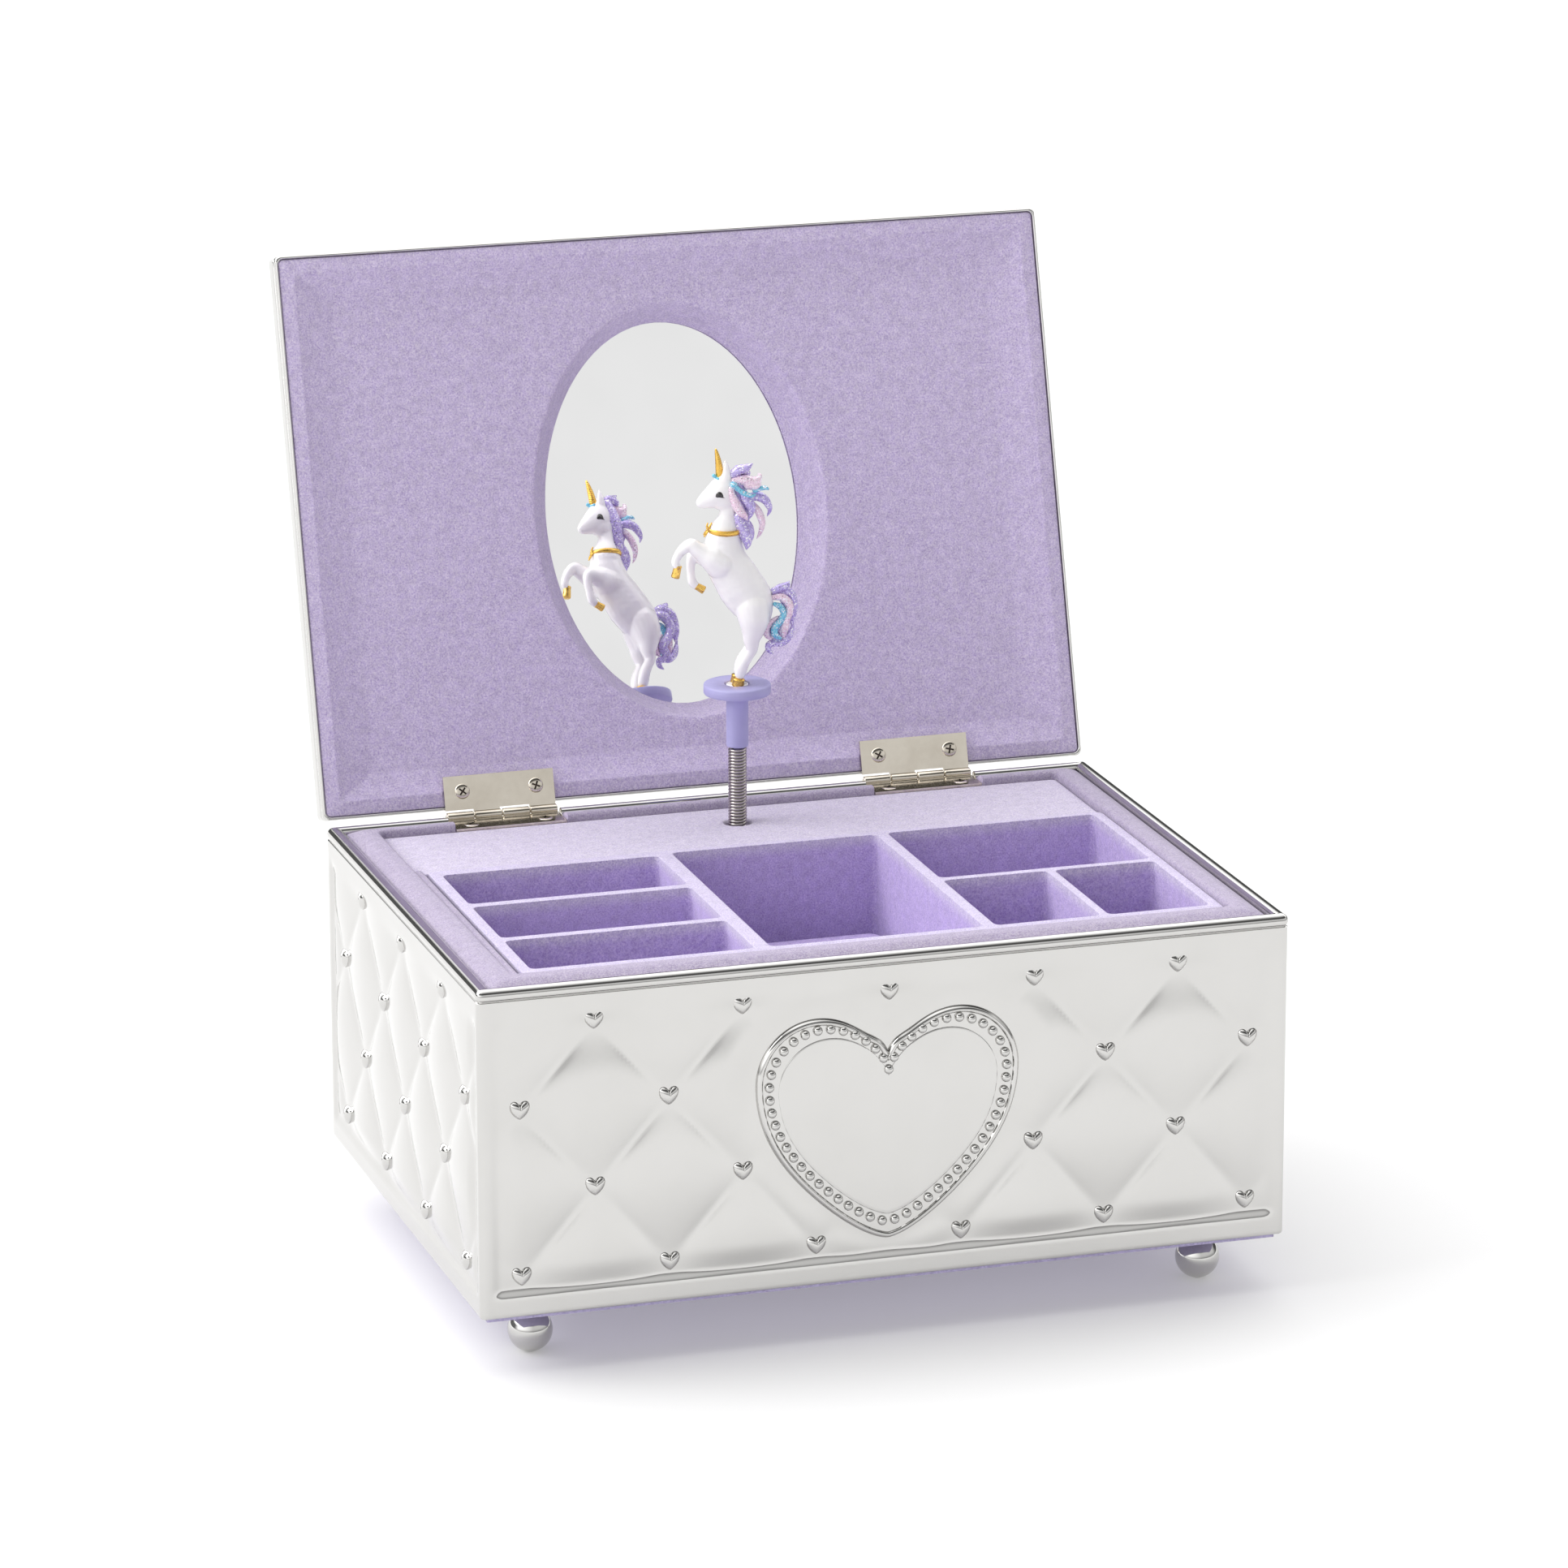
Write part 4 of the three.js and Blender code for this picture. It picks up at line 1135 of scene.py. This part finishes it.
def coil_spring():
    """The close-coiled spring between the case and the turntable."""
    turns = 35
    radius = 1.75
    wire = 0.34
    per_turn = 40
    sides = 12
    loops = []
    total = turns * per_turn
    up = Vector((0, 0, 1))
    for i in range(total + 1):
        t = i / total
        a = 2 * math.pi * turns * t
        out = Vector((math.cos(a), math.sin(a), 0))
        centre = Vector((0, SPIN_Y, SPRING_LOW + t * SPRING_LENGTH)) + out * radius
        ring = []
        for k in range(sides):
            b = 2 * math.pi * k / sides
            ring.append(tuple(centre + out * (wire * math.cos(b)) + up * (wire * math.sin(b))))
        loops.append(ring)
    return loft("coil_spring", loops, STEEL)


def turntable():
    """Stem and disc, with the round gap where the figure's plug sits."""
    profile = [
        (0, 96), (0.8, 96), (0.8, 100.3), (1.9, 100.4), (2.2, 100.45), (2.45, 100.7), (2.47, 101),
        (2.47, 111.9), (2.6, 112.3), (2.9, 112.45), (7.0, 112.5), (7.3, 112.6), (7.45, 112.85),
        (7.45, 114.45), (7.35, 114.7), (7.1, 114.8), (2.95, 114.8), (2.82, 114.74), (2.75, 114.55),
        (2.75, 113.35), (0, 113.3),
    ]
    return lathe("turntable", profile, LILAC, (0, SPIN_Y), 128)


spring = coil_spring()
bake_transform(spring)
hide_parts("figure_spring")
rides(turntable(), "figure", "plastic", "turntable_disc")


# ---- unicorn ------------------------------------------------------------
# Balls are (u, w, v, r) in millimetres: u along the profile, with the face towards -u, w sideways, v up
# from the disc.

TORSO = (
    (-2.9, 0, 32.8, 3.8), (-2.9, 0, 31.3, 4.2), (-2.8, 0, 29.4, 4.6), (-2, 0, 26.9, 4.85),
    (-0.5, 0, 24.5, 5.1), (1, 0, 21.8, 5.3), (2.7, 0, 19.4, 5.1), (3.7, 0, 17.3, 4.3),
    (3.9, 0, 14.9, 3.5), (3.6, 0, 13, 2.5),
)
NECK = ((-1.7, 0, 40, 1.8), (-2, 0, 37.9, 2), (-2.3, 0, 36.2, 2.5), (-2.6, 0, 34.7, 3.2), (-2.9, 0, 33, 3.85))
HEAD = (
    (-7.6, 0, 41.0, 1.35), (-6.4, 0, 41.6, 1.95), (-4.8, 0, 42.4, 2.65), (-3.2, 0, 43.4, 3.2),
    (-2.6, 0, 44.9, 2.6), (-2.3, 0, 46.2, 1.7),
)
CHEEK = ((-4.8, 0, 42.1, 2.1), (-2.9, 0, 41.7, 2.6), (-1.9, 0, 41.3, 2.2))
FORELEG_NEAR = (
    (-3.6, -1.0, 27.6, 3.7), (-5.0, -1.5, 28.7, 3.2), (-6.8, -1.9, 29.7, 2.3), (-8.6, -2.1, 30.9, 1.8),
    (-10.1, -2.2, 32, 1.5), (-11.8, -2.3, 31.1, 1.2), (-13.1, -2.3, 29.4, 1.0), (-13.5, -2.3, 28, 0.95),
    (-13.1, -2.3, 27.2, 0.9),
)
FORELEG_FAR = (
    (-4.0, 1.0, 27.2, 3.4), (-5.4, 1.4, 28, 2.7), (-7.2, 1.8, 28.3, 2.0), (-9.2, 2.1, 28.8, 1.5),
    (-10, 2.2, 27.1, 1.1), (-10, 2.3, 24.5, 0.95), (-9.7, 2.3, 22.6, 1.05), (-8.9, 2.3, 21.7, 0.9),
)
HIND_LEG = (
    (3.3, 1.1, 17.6, 4.0), (3.6, 1.7, 15.2, 3.5), (3.5, 2.1, 12.8, 2.6), (3.1, 2.2, 10.7, 1.9),
    (3.2, 2.2, 9, 1.5), (3.1, 2.15, 8, 1.3), (2.3, 2.05, 6.7, 1.25), (1.4, 1.95, 5.2, 1.35),
    (0.9, 1.8, 3.9, 1.4), (0.6, 1.6, 2.6, 1.3),
)
EAR = ((-2.2, 0.9, 46.8, 1.2), (-2.2, 1.15, 48, 0.95), (-2.3, 1.35, 49.3, 0.55), (-2.4, 1.45, 50.3, 0.18))
HORN = (
    (-3.6, 0, 46.4, 0.85), (-3.7, 0, 47.8, 0.86), (-3.85, 0, 49.5, 0.76), (-4.1, 0, 51.1, 0.58),
    (-4.35, 0, 52.3, 0.4), (-4.5, 0, 52.9, 0.24),
)
HEADBAND = (
    ((-4.6, -0.3, 46.8, 0.4), (-4.95, -0.35, 47.1, 0.45)),
    ((-4.4, 0, 46.6, 0.35), (-4.1, 1.0, 46.6, 0.35)),
    ((-4.4, 0, 46.6, 0.35), (-4.0, -1.0, 46.5, 0.3)),
)
BOW_ENDS = (
    ((-6.1, -0.5, 34.8, 0.35), (-6.0, -0.6, 35.6, 0.26), (-5.5, -0.6, 36.5, 0.18)),
    ((-6.1, -0.5, 34.8, 0.35), (-6.7, -0.5, 34.1, 0.26), (-7.1, -0.4, 33.4, 0.18)),
    ((-6.1, 0.5, 34.8, 0.35), (-6.5, 0.7, 35.4, 0.24), (-6.3, 0.9, 36.1, 0.18)),
    ((-6.1, 0.5, 34.8, 0.35), (-6.8, 0.6, 34.2, 0.24), (-7.2, 0.7, 33.6, 0.18)),
)
MANE = {
    "mane_purple": (PURPLE_GLITTER, (
        ((-0.8, -0.6, 47.5, 1), (0.7, -0.7, 48.4, 1.1), (2, -0.8, 48.8, 0.9), (3, -0.9, 49.4, 0.45),
         (3.5, -1, 49.8, 0.18)),
        ((0.3, 0.4, 48.3, 0.95), (2.1, 0.3, 47.7, 0.85), (2.5, 0.3, 47.1, 0.5), (2.3, 0.2, 46.8, 0.2)),
        ((3.2, 0.3, 42.1, 0.9), (4.7, 0.3, 42.2, 1.1), (6.1, 0.4, 41.5, 1), (7, 0.4, 40.2, 0.8),
         (7.3, 0.5, 39, 0.5), (7, 0.6, 38.2, 0.3), (6.7, 0.6, 37.5, 0.12)),
        ((1.4, -1.2, 42.8, 0.9), (2.5, -1.2, 41.3, 1.15), (3.2, -1.2, 40, 1), (3, -1.2, 38.7, 0.7),
         (2.5, -1.2, 37.3, 0.2)),
        ((0.3, -1.3, 38.1, 0.95), (0.9, -1.2, 36.2, 1.25), (1.7, -1, 34.1, 1.35), (2.3, -0.9, 32.2, 1),
         (2.2, -0.7, 31.1, 0.5), (2.1, -0.6, 30.4, 0.15)),
        ((1.4, -0.2, 37, 1.1), (2.7, -0.2, 35.4, 1), (3.2, -0.2, 33.6, 0.7), (3, -0.2, 32, 0.3)),
        ((-0.3, 0.2, 47, 1.3), (0.5, 0.3, 44.5, 1.6), (0.8, 0.3, 41.9, 1.75), (1, 0.3, 38.9, 1.45),
         (1.4, 0.2, 36.2, 1.2), (1.7, 0, 33.9, 1)),
    )),
    "mane_pink": (PINK_GLITTER, (
        ((-0.4, -1, 46, 0.95), (1.6, -0.9, 46.2, 1.2), (3.4, -0.8, 45.8, 1.15), (4.7, -0.8, 46.2, 0.8),
         (5.1, -0.7, 47.1, 0.45), (4.7, -0.6, 47.5, 0.18)),
        ((2.5, -0.9, 45.1, 1.1), (4.1, -0.9, 44.9, 0.95), (5, -0.9, 45.3, 0.5)),
        ((-1.3, -1.8, 44.5, 0.6), (-0.9, -1.8, 42.8, 0.85), (-0.1, -1.8, 40.9, 1.1), (0.9, -1.9, 39.2, 1),
         (1.8, -1.9, 38.3, 0.65), (2.3, -1.9, 37.4, 0.2)),
        ((3.6, -0.2, 40.4, 0.75), (4.7, -0.2, 39, 0.85), (5.4, -0.2, 37.3, 0.85), (5.6, -0.2, 35.8, 0.7),
         (5.1, -0.2, 34, 0.45), (4.4, -0.2, 32.8, 0.15)),
    )),
    "mane_aqua": (AQUA_GLITTER, (
        ((-0.7, -1.9, 45.4, 0.8), (0.2, -1.8, 44.4, 0.6), (1.7, -1.7, 43.3, 0.65), (3.2, -1.6, 42.8, 0.45),
         (4.1, -1.5, 43, 0.2)),
        ((3.9, -0.6, 43.6, 0.5), (5.1, -0.6, 44.1, 0.55), (6.1, -0.6, 44.3, 0.5), (6.8, -0.6, 44.1, 0.33),
         (7.1, -0.6, 43.8, 0.12)),
    )),
}
TAIL = {
    "tail_purple": (PURPLE_GLITTER, (
        ((8.1, 0, 20.9, 0.75), (9.6, 0, 21.5, 0.95), (11, 0, 22.1, 0.75), (11.5, 0, 22.9, 0.25)),
        ((9.8, 0.6, 21.3, 0.8), (11.8, 0.6, 20.1, 1), (12.6, 0.5, 18.1, 0.85), (12.5, 0.5, 16, 0.85),
         (12.1, 0.4, 14.1, 0.6), (12.2, 0.4, 13, 0.3)),
        ((12.4, 0, 13.3, 0.25), (12, 0, 11.8, 0.65), (11.2, -0.1, 10.2, 0.85), (9.8, -0.1, 9.1, 0.85),
         (8.1, -0.2, 9.1, 0.85), (6.9, -0.2, 8.6, 0.75), (7, -0.3, 7.5, 0.6), (7.9, -0.3, 6.7, 0.2)),
        ((7.4, 0.4, 19.6, 0.6), (9.8, 0.4, 19.6, 1.1), (11.2, 0.4, 16.9, 1.1), (10.1, 0.4, 14.3, 1.1),
         (8.3, 0.4, 12, 1.15), (9, 0.4, 10.1, 0.95)),
    )),
    "tail_pink": (PINK_GLITTER, (
        ((8.1, -0.4, 19.5, 0.65), (9.9, -0.4, 19.5, 0.95), (11.4, -0.4, 18.1, 0.95), (11.5, -0.4, 16.2, 0.9),
         (10.8, -0.4, 14.3, 0.9), (10.4, -0.4, 12.4, 0.95), (10.3, -0.4, 10.9, 0.6)),
        ((9, -0.3, 15.1, 0.3), (7.8, -0.3, 14.1, 0.6), (6.6, -0.3, 12.6, 0.8), (6.6, -0.3, 11.1, 0.8),
         (7.3, -0.3, 10.2, 0.45)),
    )),
    "tail_aqua": (AQUA_GLITTER, (
        ((8.3, -0.9, 18.1, 0.5), (9.6, -0.9, 17.4, 0.75), (10.2, -0.9, 15.9, 0.75), (9.6, -0.9, 14.3, 0.75),
         (8.4, -0.9, 12.8, 0.85), (8.3, -0.9, 11.3, 0.8), (9.4, -0.9, 10.4, 0.45)),
    )),
}


def strand_points(balls, spacing=0.22):
    """Balls along a smooth curve through the given ones, close enough to merge."""
    pts = np.array(balls, float)
    ends = np.vstack([2 * pts[0] - pts[1], pts, 2 * pts[-1] - pts[-2]])
    ends[:, 3] = np.clip(ends[:, 3], 0.1, None)
    made = []
    for i in range(1, len(ends) - 2):
        p0, p1, p2, p3 = ends[i - 1:i + 3]
        length = np.linalg.norm((p2 - p1)[:3])
        steps = max(2, int(length / (spacing * max(0.5, min(p1[3], p2[3])))))
        for t in np.arange(steps) / steps:
            curve = 0.5 * (2 * p1 + (p2 - p0) * t + (2 * p0 - 5 * p1 + 4 * p2 - p3) * t * t
                           + (3 * p1 - p0 - 3 * p2 + p3) * t ** 3)
            made.append(curve)
    made.append(pts[-1])
    return made


def ball_lots(balls, flat=1.0, side=1):
    """The strand's balls as (verts, faces); side -1 mirrors them to the near side."""
    lots = []
    for u, w, v, r in strand_points(balls):
        fine = r > 1.5
        lots.append(ball((u, side * w, v), max(r, 0.1), 20 if fine else 12, 12 if fine else 8, flat))
    return lots


def locks_of(strands):
    """The balls of several strands."""
    return [lot for one in strands for lot in ball_lots(one)]


def remeshed(name, lots, material, voxel, smoothing):
    """The balls merged into one smooth skin."""
    obj = joined(name, lots, material)
    mod = obj.modifiers.new("skin", "REMESH")
    mod.mode = "VOXEL"
    mod.voxel_size = voxel * MM
    mod.use_smooth_shade = True
    mod = obj.modifiers.new("soft", "SMOOTH")
    mod.factor = 0.5
    mod.iterations = smoothing
    applied(obj)
    return obj


def stood(obj):
    """From the figure's own lengths to its place on the disc."""
    place = Matrix.Translation((0, SPIN_Y * MM, DISC_TOP * MM))
    obj.data.transform(place @ Matrix.Rotation(FIGURE_TURN, 4, "Z"))
    return obj


def unicorn_skin():
    """Body, neck, head, legs and ears."""
    lots = ball_lots(TORSO, 0.8) + ball_lots(NECK, 0.85) + ball_lots(HEAD, 0.74) + ball_lots(CHEEK, 0.8)
    lots += ball_lots(FORELEG_NEAR) + ball_lots(FORELEG_FAR)
    for side in (-1, 1):
        lots += ball_lots(HIND_LEG, 1.0, side) + ball_lots(EAR, 0.7, side)
    return remeshed("unicorn_skin", lots, WHITE, 0.2, 10)


def surface_w(skin, u, v):
    """The w of the skin's near side at (u, v), before the figure is stood up."""
    hit, place, _, _ = skin.ray_cast(Vector((u * MM, -0.02, v * MM)), Vector((0, 1, 0)))
    return place.y / MM if hit else -2.0


def gold_hoof(top, toe, r_top, r_toe):
    """A tapered hoof with a flat sole and a raised band round its top."""
    top = Vector(top)
    toe = Vector(toe)
    length = (toe - top).length
    profile = [
        (0, -0.25), (r_top * 0.9, -0.2), (r_top * 1.04, -0.05), (r_top * 1.07, 0.08), (r_top * 0.99, 0.2),
        (r_top * 0.5 + r_toe * 0.5, length * 0.55), (r_toe, length * 0.9), (r_toe * 0.92, length),
        (0, length),
    ]
    obj = lathe("hoof", profile, GOLD, steps=28)
    turn = Vector((0, 0, 1)).rotation_difference(toe - top).to_matrix().to_4x4()
    obj.data.transform(Matrix.Translation(top * MM) @ turn)
    return obj


def merged(name, objs):
    """Several objects as one."""
    with bpy.context.temp_override(active_object=objs[0], selected_editable_objects=objs):
        bpy.ops.object.join()
    objs[0].name = name
    return objs[0]


def hooves():
    """The four hooves: near and far foreleg, near and far hind leg."""
    return merged("gold_hooves", [gold_hoof(*one) for one in (
        ((-12.95, -2.3, 27.3), (-13.6, -2.3, 24.7), 0.86, 0.98),
        ((-8.8, 2.3, 21.6), (-7.1, 2.3, 20.6), 0.8, 0.92),
        ((0.3, -1.5, 1.3), (0.0, -1.4, -0.9), 1.3, 1.4),
        ((0.1, 1.5, 1.4), (-0.3, 1.4, -0.9), 1.25, 1.35),
    )])


def figure_plug():
    """The round foot that plugs into the disc."""
    profile = [(0, -1.4), (2.2, -1.4), (2.45, -1.2), (2.5, -0.3), (2.4, -0.08), (2.1, 0), (0, 0.02)]
    return lathe("figure_plug", profile, WHITE, steps=48)


def twisted_horn():
    """A slim horn with a raised thread winding up it."""
    lots = []
    for u, w, v, r in strand_points(HORN, 0.12):
        lots.append(ball((u, w, v), r * 0.9, 14, 8))
        a = 2.1 * (v - 46) * math.pi
        for k in (0, math.pi):
            spot = (u + 0.55 * r * math.cos(a + k), w + 0.55 * r * math.sin(a + k), v)
            lots.append(ball(spot, max(0.12, r * 0.52), 8, 6))
    return remeshed("gold_horn", lots, GOLD, 0.1, 1)


def collar():
    """A ribbon round the base of the neck, lower at the chest, with a knot and four short ends."""
    rows = []
    steps = 96
    sides = 10
    for i in range(steps):
        a = 2 * math.pi * i / steps
        out = Vector((math.cos(a), math.sin(a), 0))
        tall = 0.48 + 0.14 * abs(math.sin(a))
        sag = 0.1 * math.cos(a) + 0.25 * abs(math.sin(a))
        centre = Vector((-2.62 + 3.62 * math.cos(a), 3.12 * math.sin(a), 34.85 - sag))
        ring = []
        for k in range(sides):
            b = 2 * math.pi * k / sides
            ring.append(tuple(centre + out * (0.2 * math.cos(b)) + Vector((0, 0, tall * math.sin(b)))))
        rows.append(ring)
    band = loft("collar", rows, GOLD, wrap=True)
    knot = ball((-6.25, 0, 34.7), 0.55, 14, 10)
    bow = remeshed("bow", locks_of(BOW_ENDS) + [knot], GOLD, 0.1, 2)
    return merged("gold_collar", [band, bow])


def eye(skin, side):
    """A half-moon eye with a short lash."""
    outline = []
    for k in range(25):
        a = math.pi * k / 24
        outline.append((EYE_U + 0.85 * math.cos(a), 42.7 + 1.2 * math.sin(a)))
    lash = ((-0.4, 42.58), (0, 42.62), (0.4, 42.55), (0.75, 42.52), (1.2, 42.45))
    outline += [(EYE_U + across, v) for across, v in lash]
    verts = []
    for lift in (-0.25, 0.045):
        for u, v in outline:
            w = surface_w(skin, u, v)
            verts.append((u, side * (w - lift), v))
    n = len(outline)
    verts.append((EYE_U, side * (surface_w(skin, EYE_U, 43.1) - 0.1), 43.1))
    faces = [(i, (i + 1) % n, n + (i + 1) % n, n + i) for i in range(n)]
    faces += [(n + i, n + (i + 1) % n, 2 * n) for i in range(n)]
    obj = mesh_object("eye", verts, faces, BLACK)
    recalc(obj)
    return obj


def build_unicorn():
    """All of the figure's pieces, stood on the disc."""
    skin = unicorn_skin()
    eyes = merged("unicorn_eyes", [eye(skin, 1), eye(skin, -1)])
    for made in (skin, figure_plug(), eyes):
        rides(stood(made), "figure", "white")
    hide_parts("unicorn_body")
    rides(stood(hooves()), "figure", "gold")
    rides(stood(twisted_horn()), "figure", "gold", "unicorn_horn")
    rides(stood(collar()), "figure", "gold", "unicorn_collar")
    rides(stood(remeshed("headband", locks_of(HEADBAND), AQUA, 0.1, 2)), "figure", "glitter")
    for kind, node in ((MANE, "unicorn_mane"), (TAIL, "unicorn_tail")):
        for i, (name, (material, locks)) in enumerate(kind.items()):
            hair = remeshed(name, locks_of(locks), material, 0.14, 2)
            made = rides(stood(hair), "figure", "glitter")
            if i == 0:
                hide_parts(node)


build_unicorn()


# ---- carried-over CAD pieces --------------------------------------------

NODE_FINISH = {
    "case_carcass": (BOARD, 0.3), "base_plate": (FELT, 0.4), "movement_partition": (BOARD, 0.2),
    "lid_mirror": (MIRROR, 0.15), "lid_backing_board": (BOARD, 0.2), "movement_frame": (STEEL, 0.15),
    "music_comb": (STEEL, 0.05), "mainspring_barrel": (BRASS, 0.15), "music_cylinder": (BRASS, 0.05),
    "governor": (STEEL, 0.08), "winding_key": (BRASS, 0.25),
}
for node_name, (finish, width) in NODE_FINISH.items():
    node = frame["nodes"][node_name]
    node.data.materials.clear()
    node.data.materials.append(finish)
    bevel(node, width, 2, 40)


# ---- floor, light and camera --------------------------------------------


def floor():
    """A wide white sheet that falls off to grey in front of the box; it glows faintly, painted light that
    lifts the box's shadow.
    """
    steps = 40
    radius = 9000
    turns = [2 * math.pi * i / steps for i in range(steps)]
    verts = [(radius * math.cos(a), radius * math.sin(a), 0) for a in turns]
    mat, nodes, links, shader = new_material("white_sheet_painted_glow")
    haze = noise(nodes, links, 2, 2)
    tint = ramp(nodes, links, haze, [(0.3, grey(0.66)), (0.7, grey(0.67))])
    nearness = spread(nodes, links, axes(nodes, links).outputs["Y"], -1.3, -0.38, 0.62)
    links.new(multiplied(nodes, links, tint, nearness), shader.inputs["Base Color"])
    shader.inputs["Roughness"].default_value = 0.9
    shader.inputs["Specular IOR Level"].default_value = 0
    # painted light: the sheet glows faintly, less where it falls off to grey, and lifts the shadow under the
    # box
    shader.inputs["Emission Color"].default_value = (1, 0.99, 1, 1)
    links.new(scaled(nodes, links, nearness, 0.22), shader.inputs["Emission Strength"])
    mesh_object("floor", verts, [tuple(range(steps))], mat, False)


def world():
    """A white studio: in front a dark band high up, behind a dark gap low down, a brighter left side."""
    made = bpy.data.worlds.new("studio")
    made.use_nodes = True
    nodes = made.node_tree.nodes
    links = made.node_tree.links
    back = nodes["Background"]
    split = axes(nodes, links, "Generated")
    front = ramp(nodes, links, split.outputs["Z"], [
        (0, grey(0.14)), (0.11, grey(0.27)), (0.2, grey(0.38)), (0.45, grey(0.40)), (0.53, grey(0.05)),
        (0.80, grey(0.05)), (0.90, grey(0.3)), (1, grey(0.75)),
    ])
    rear = ramp(nodes, links, split.outputs["Z"], [
        (0, grey(0.55)), (0.04, grey(0.04)), (0.32, grey(0.04)), (0.42, grey(0.85)), (1, grey(0.98)),
    ])
    turn = nodes.new("ShaderNodeMath")
    turn.operation = "MULTIPLY_ADD"
    turn.inputs[1].default_value = 2.5
    turn.inputs[2].default_value = 0.5
    turn.use_clamp = True
    links.new(split.outputs["Y"], turn.inputs[0])
    mix = nodes.new("ShaderNodeMixRGB")
    links.new(turn.outputs[0], mix.inputs["Fac"])
    links.new(front, mix.inputs["Color1"])
    links.new(rear, mix.inputs["Color2"])
    links.new(mix.outputs["Color"], back.inputs["Color"])
    left = scaled(nodes, links, split.outputs["X"], -1, clamp=True)
    side = ramp(nodes, links, left, [(0, grey(0.42)), (1, grey(1))])
    links.new(scaled(nodes, links, side, 5.3), back.inputs["Strength"])
    bpy.context.scene.world = made


def area_light(name, at, size, power):
    """A soft square light aimed at the middle of the box."""
    data = bpy.data.lights.new(name, "AREA")
    data.shape = "SQUARE"
    data.size = size
    data.energy = power
    obj = bpy.data.objects.new(name, data)
    obj.location = [c * MM for c in at]
    aim = Vector((0, 0, 0.08)) - obj.location
    obj.rotation_euler = aim.to_track_quat("-Z", "Y").to_euler()
    bpy.context.scene.collection.objects.link(obj)


def camera():
    """The camera where the photograph was taken from."""
    data = bpy.data.cameras.new("camera")
    data.lens = CAMERA_LENS
    data.sensor_width = 36
    data.clip_start = 0.05
    data.clip_end = 60
    obj = bpy.data.objects.new("camera", data)
    level = math.cos(CAMERA_EL)
    back = Vector((math.sin(CAMERA_AZ) * level, -math.cos(CAMERA_AZ) * level, math.sin(CAMERA_EL)))
    turn = (-back).to_track_quat("-Z", "Y").to_matrix().to_4x4()
    obj.matrix_world = (Matrix.Translation([c * MM for c in CAMERA_AT]) @ turn
                        @ Matrix.Rotation(CAMERA_ROLL, 4, "Z"))
    bpy.context.scene.collection.objects.link(obj)
    bpy.context.scene.camera = obj


floor()
world()
area_light("key", (-1150, 150, 1000), 0.9, 6)
camera()
bpy.context.scene.view_settings.view_transform = "Standard"
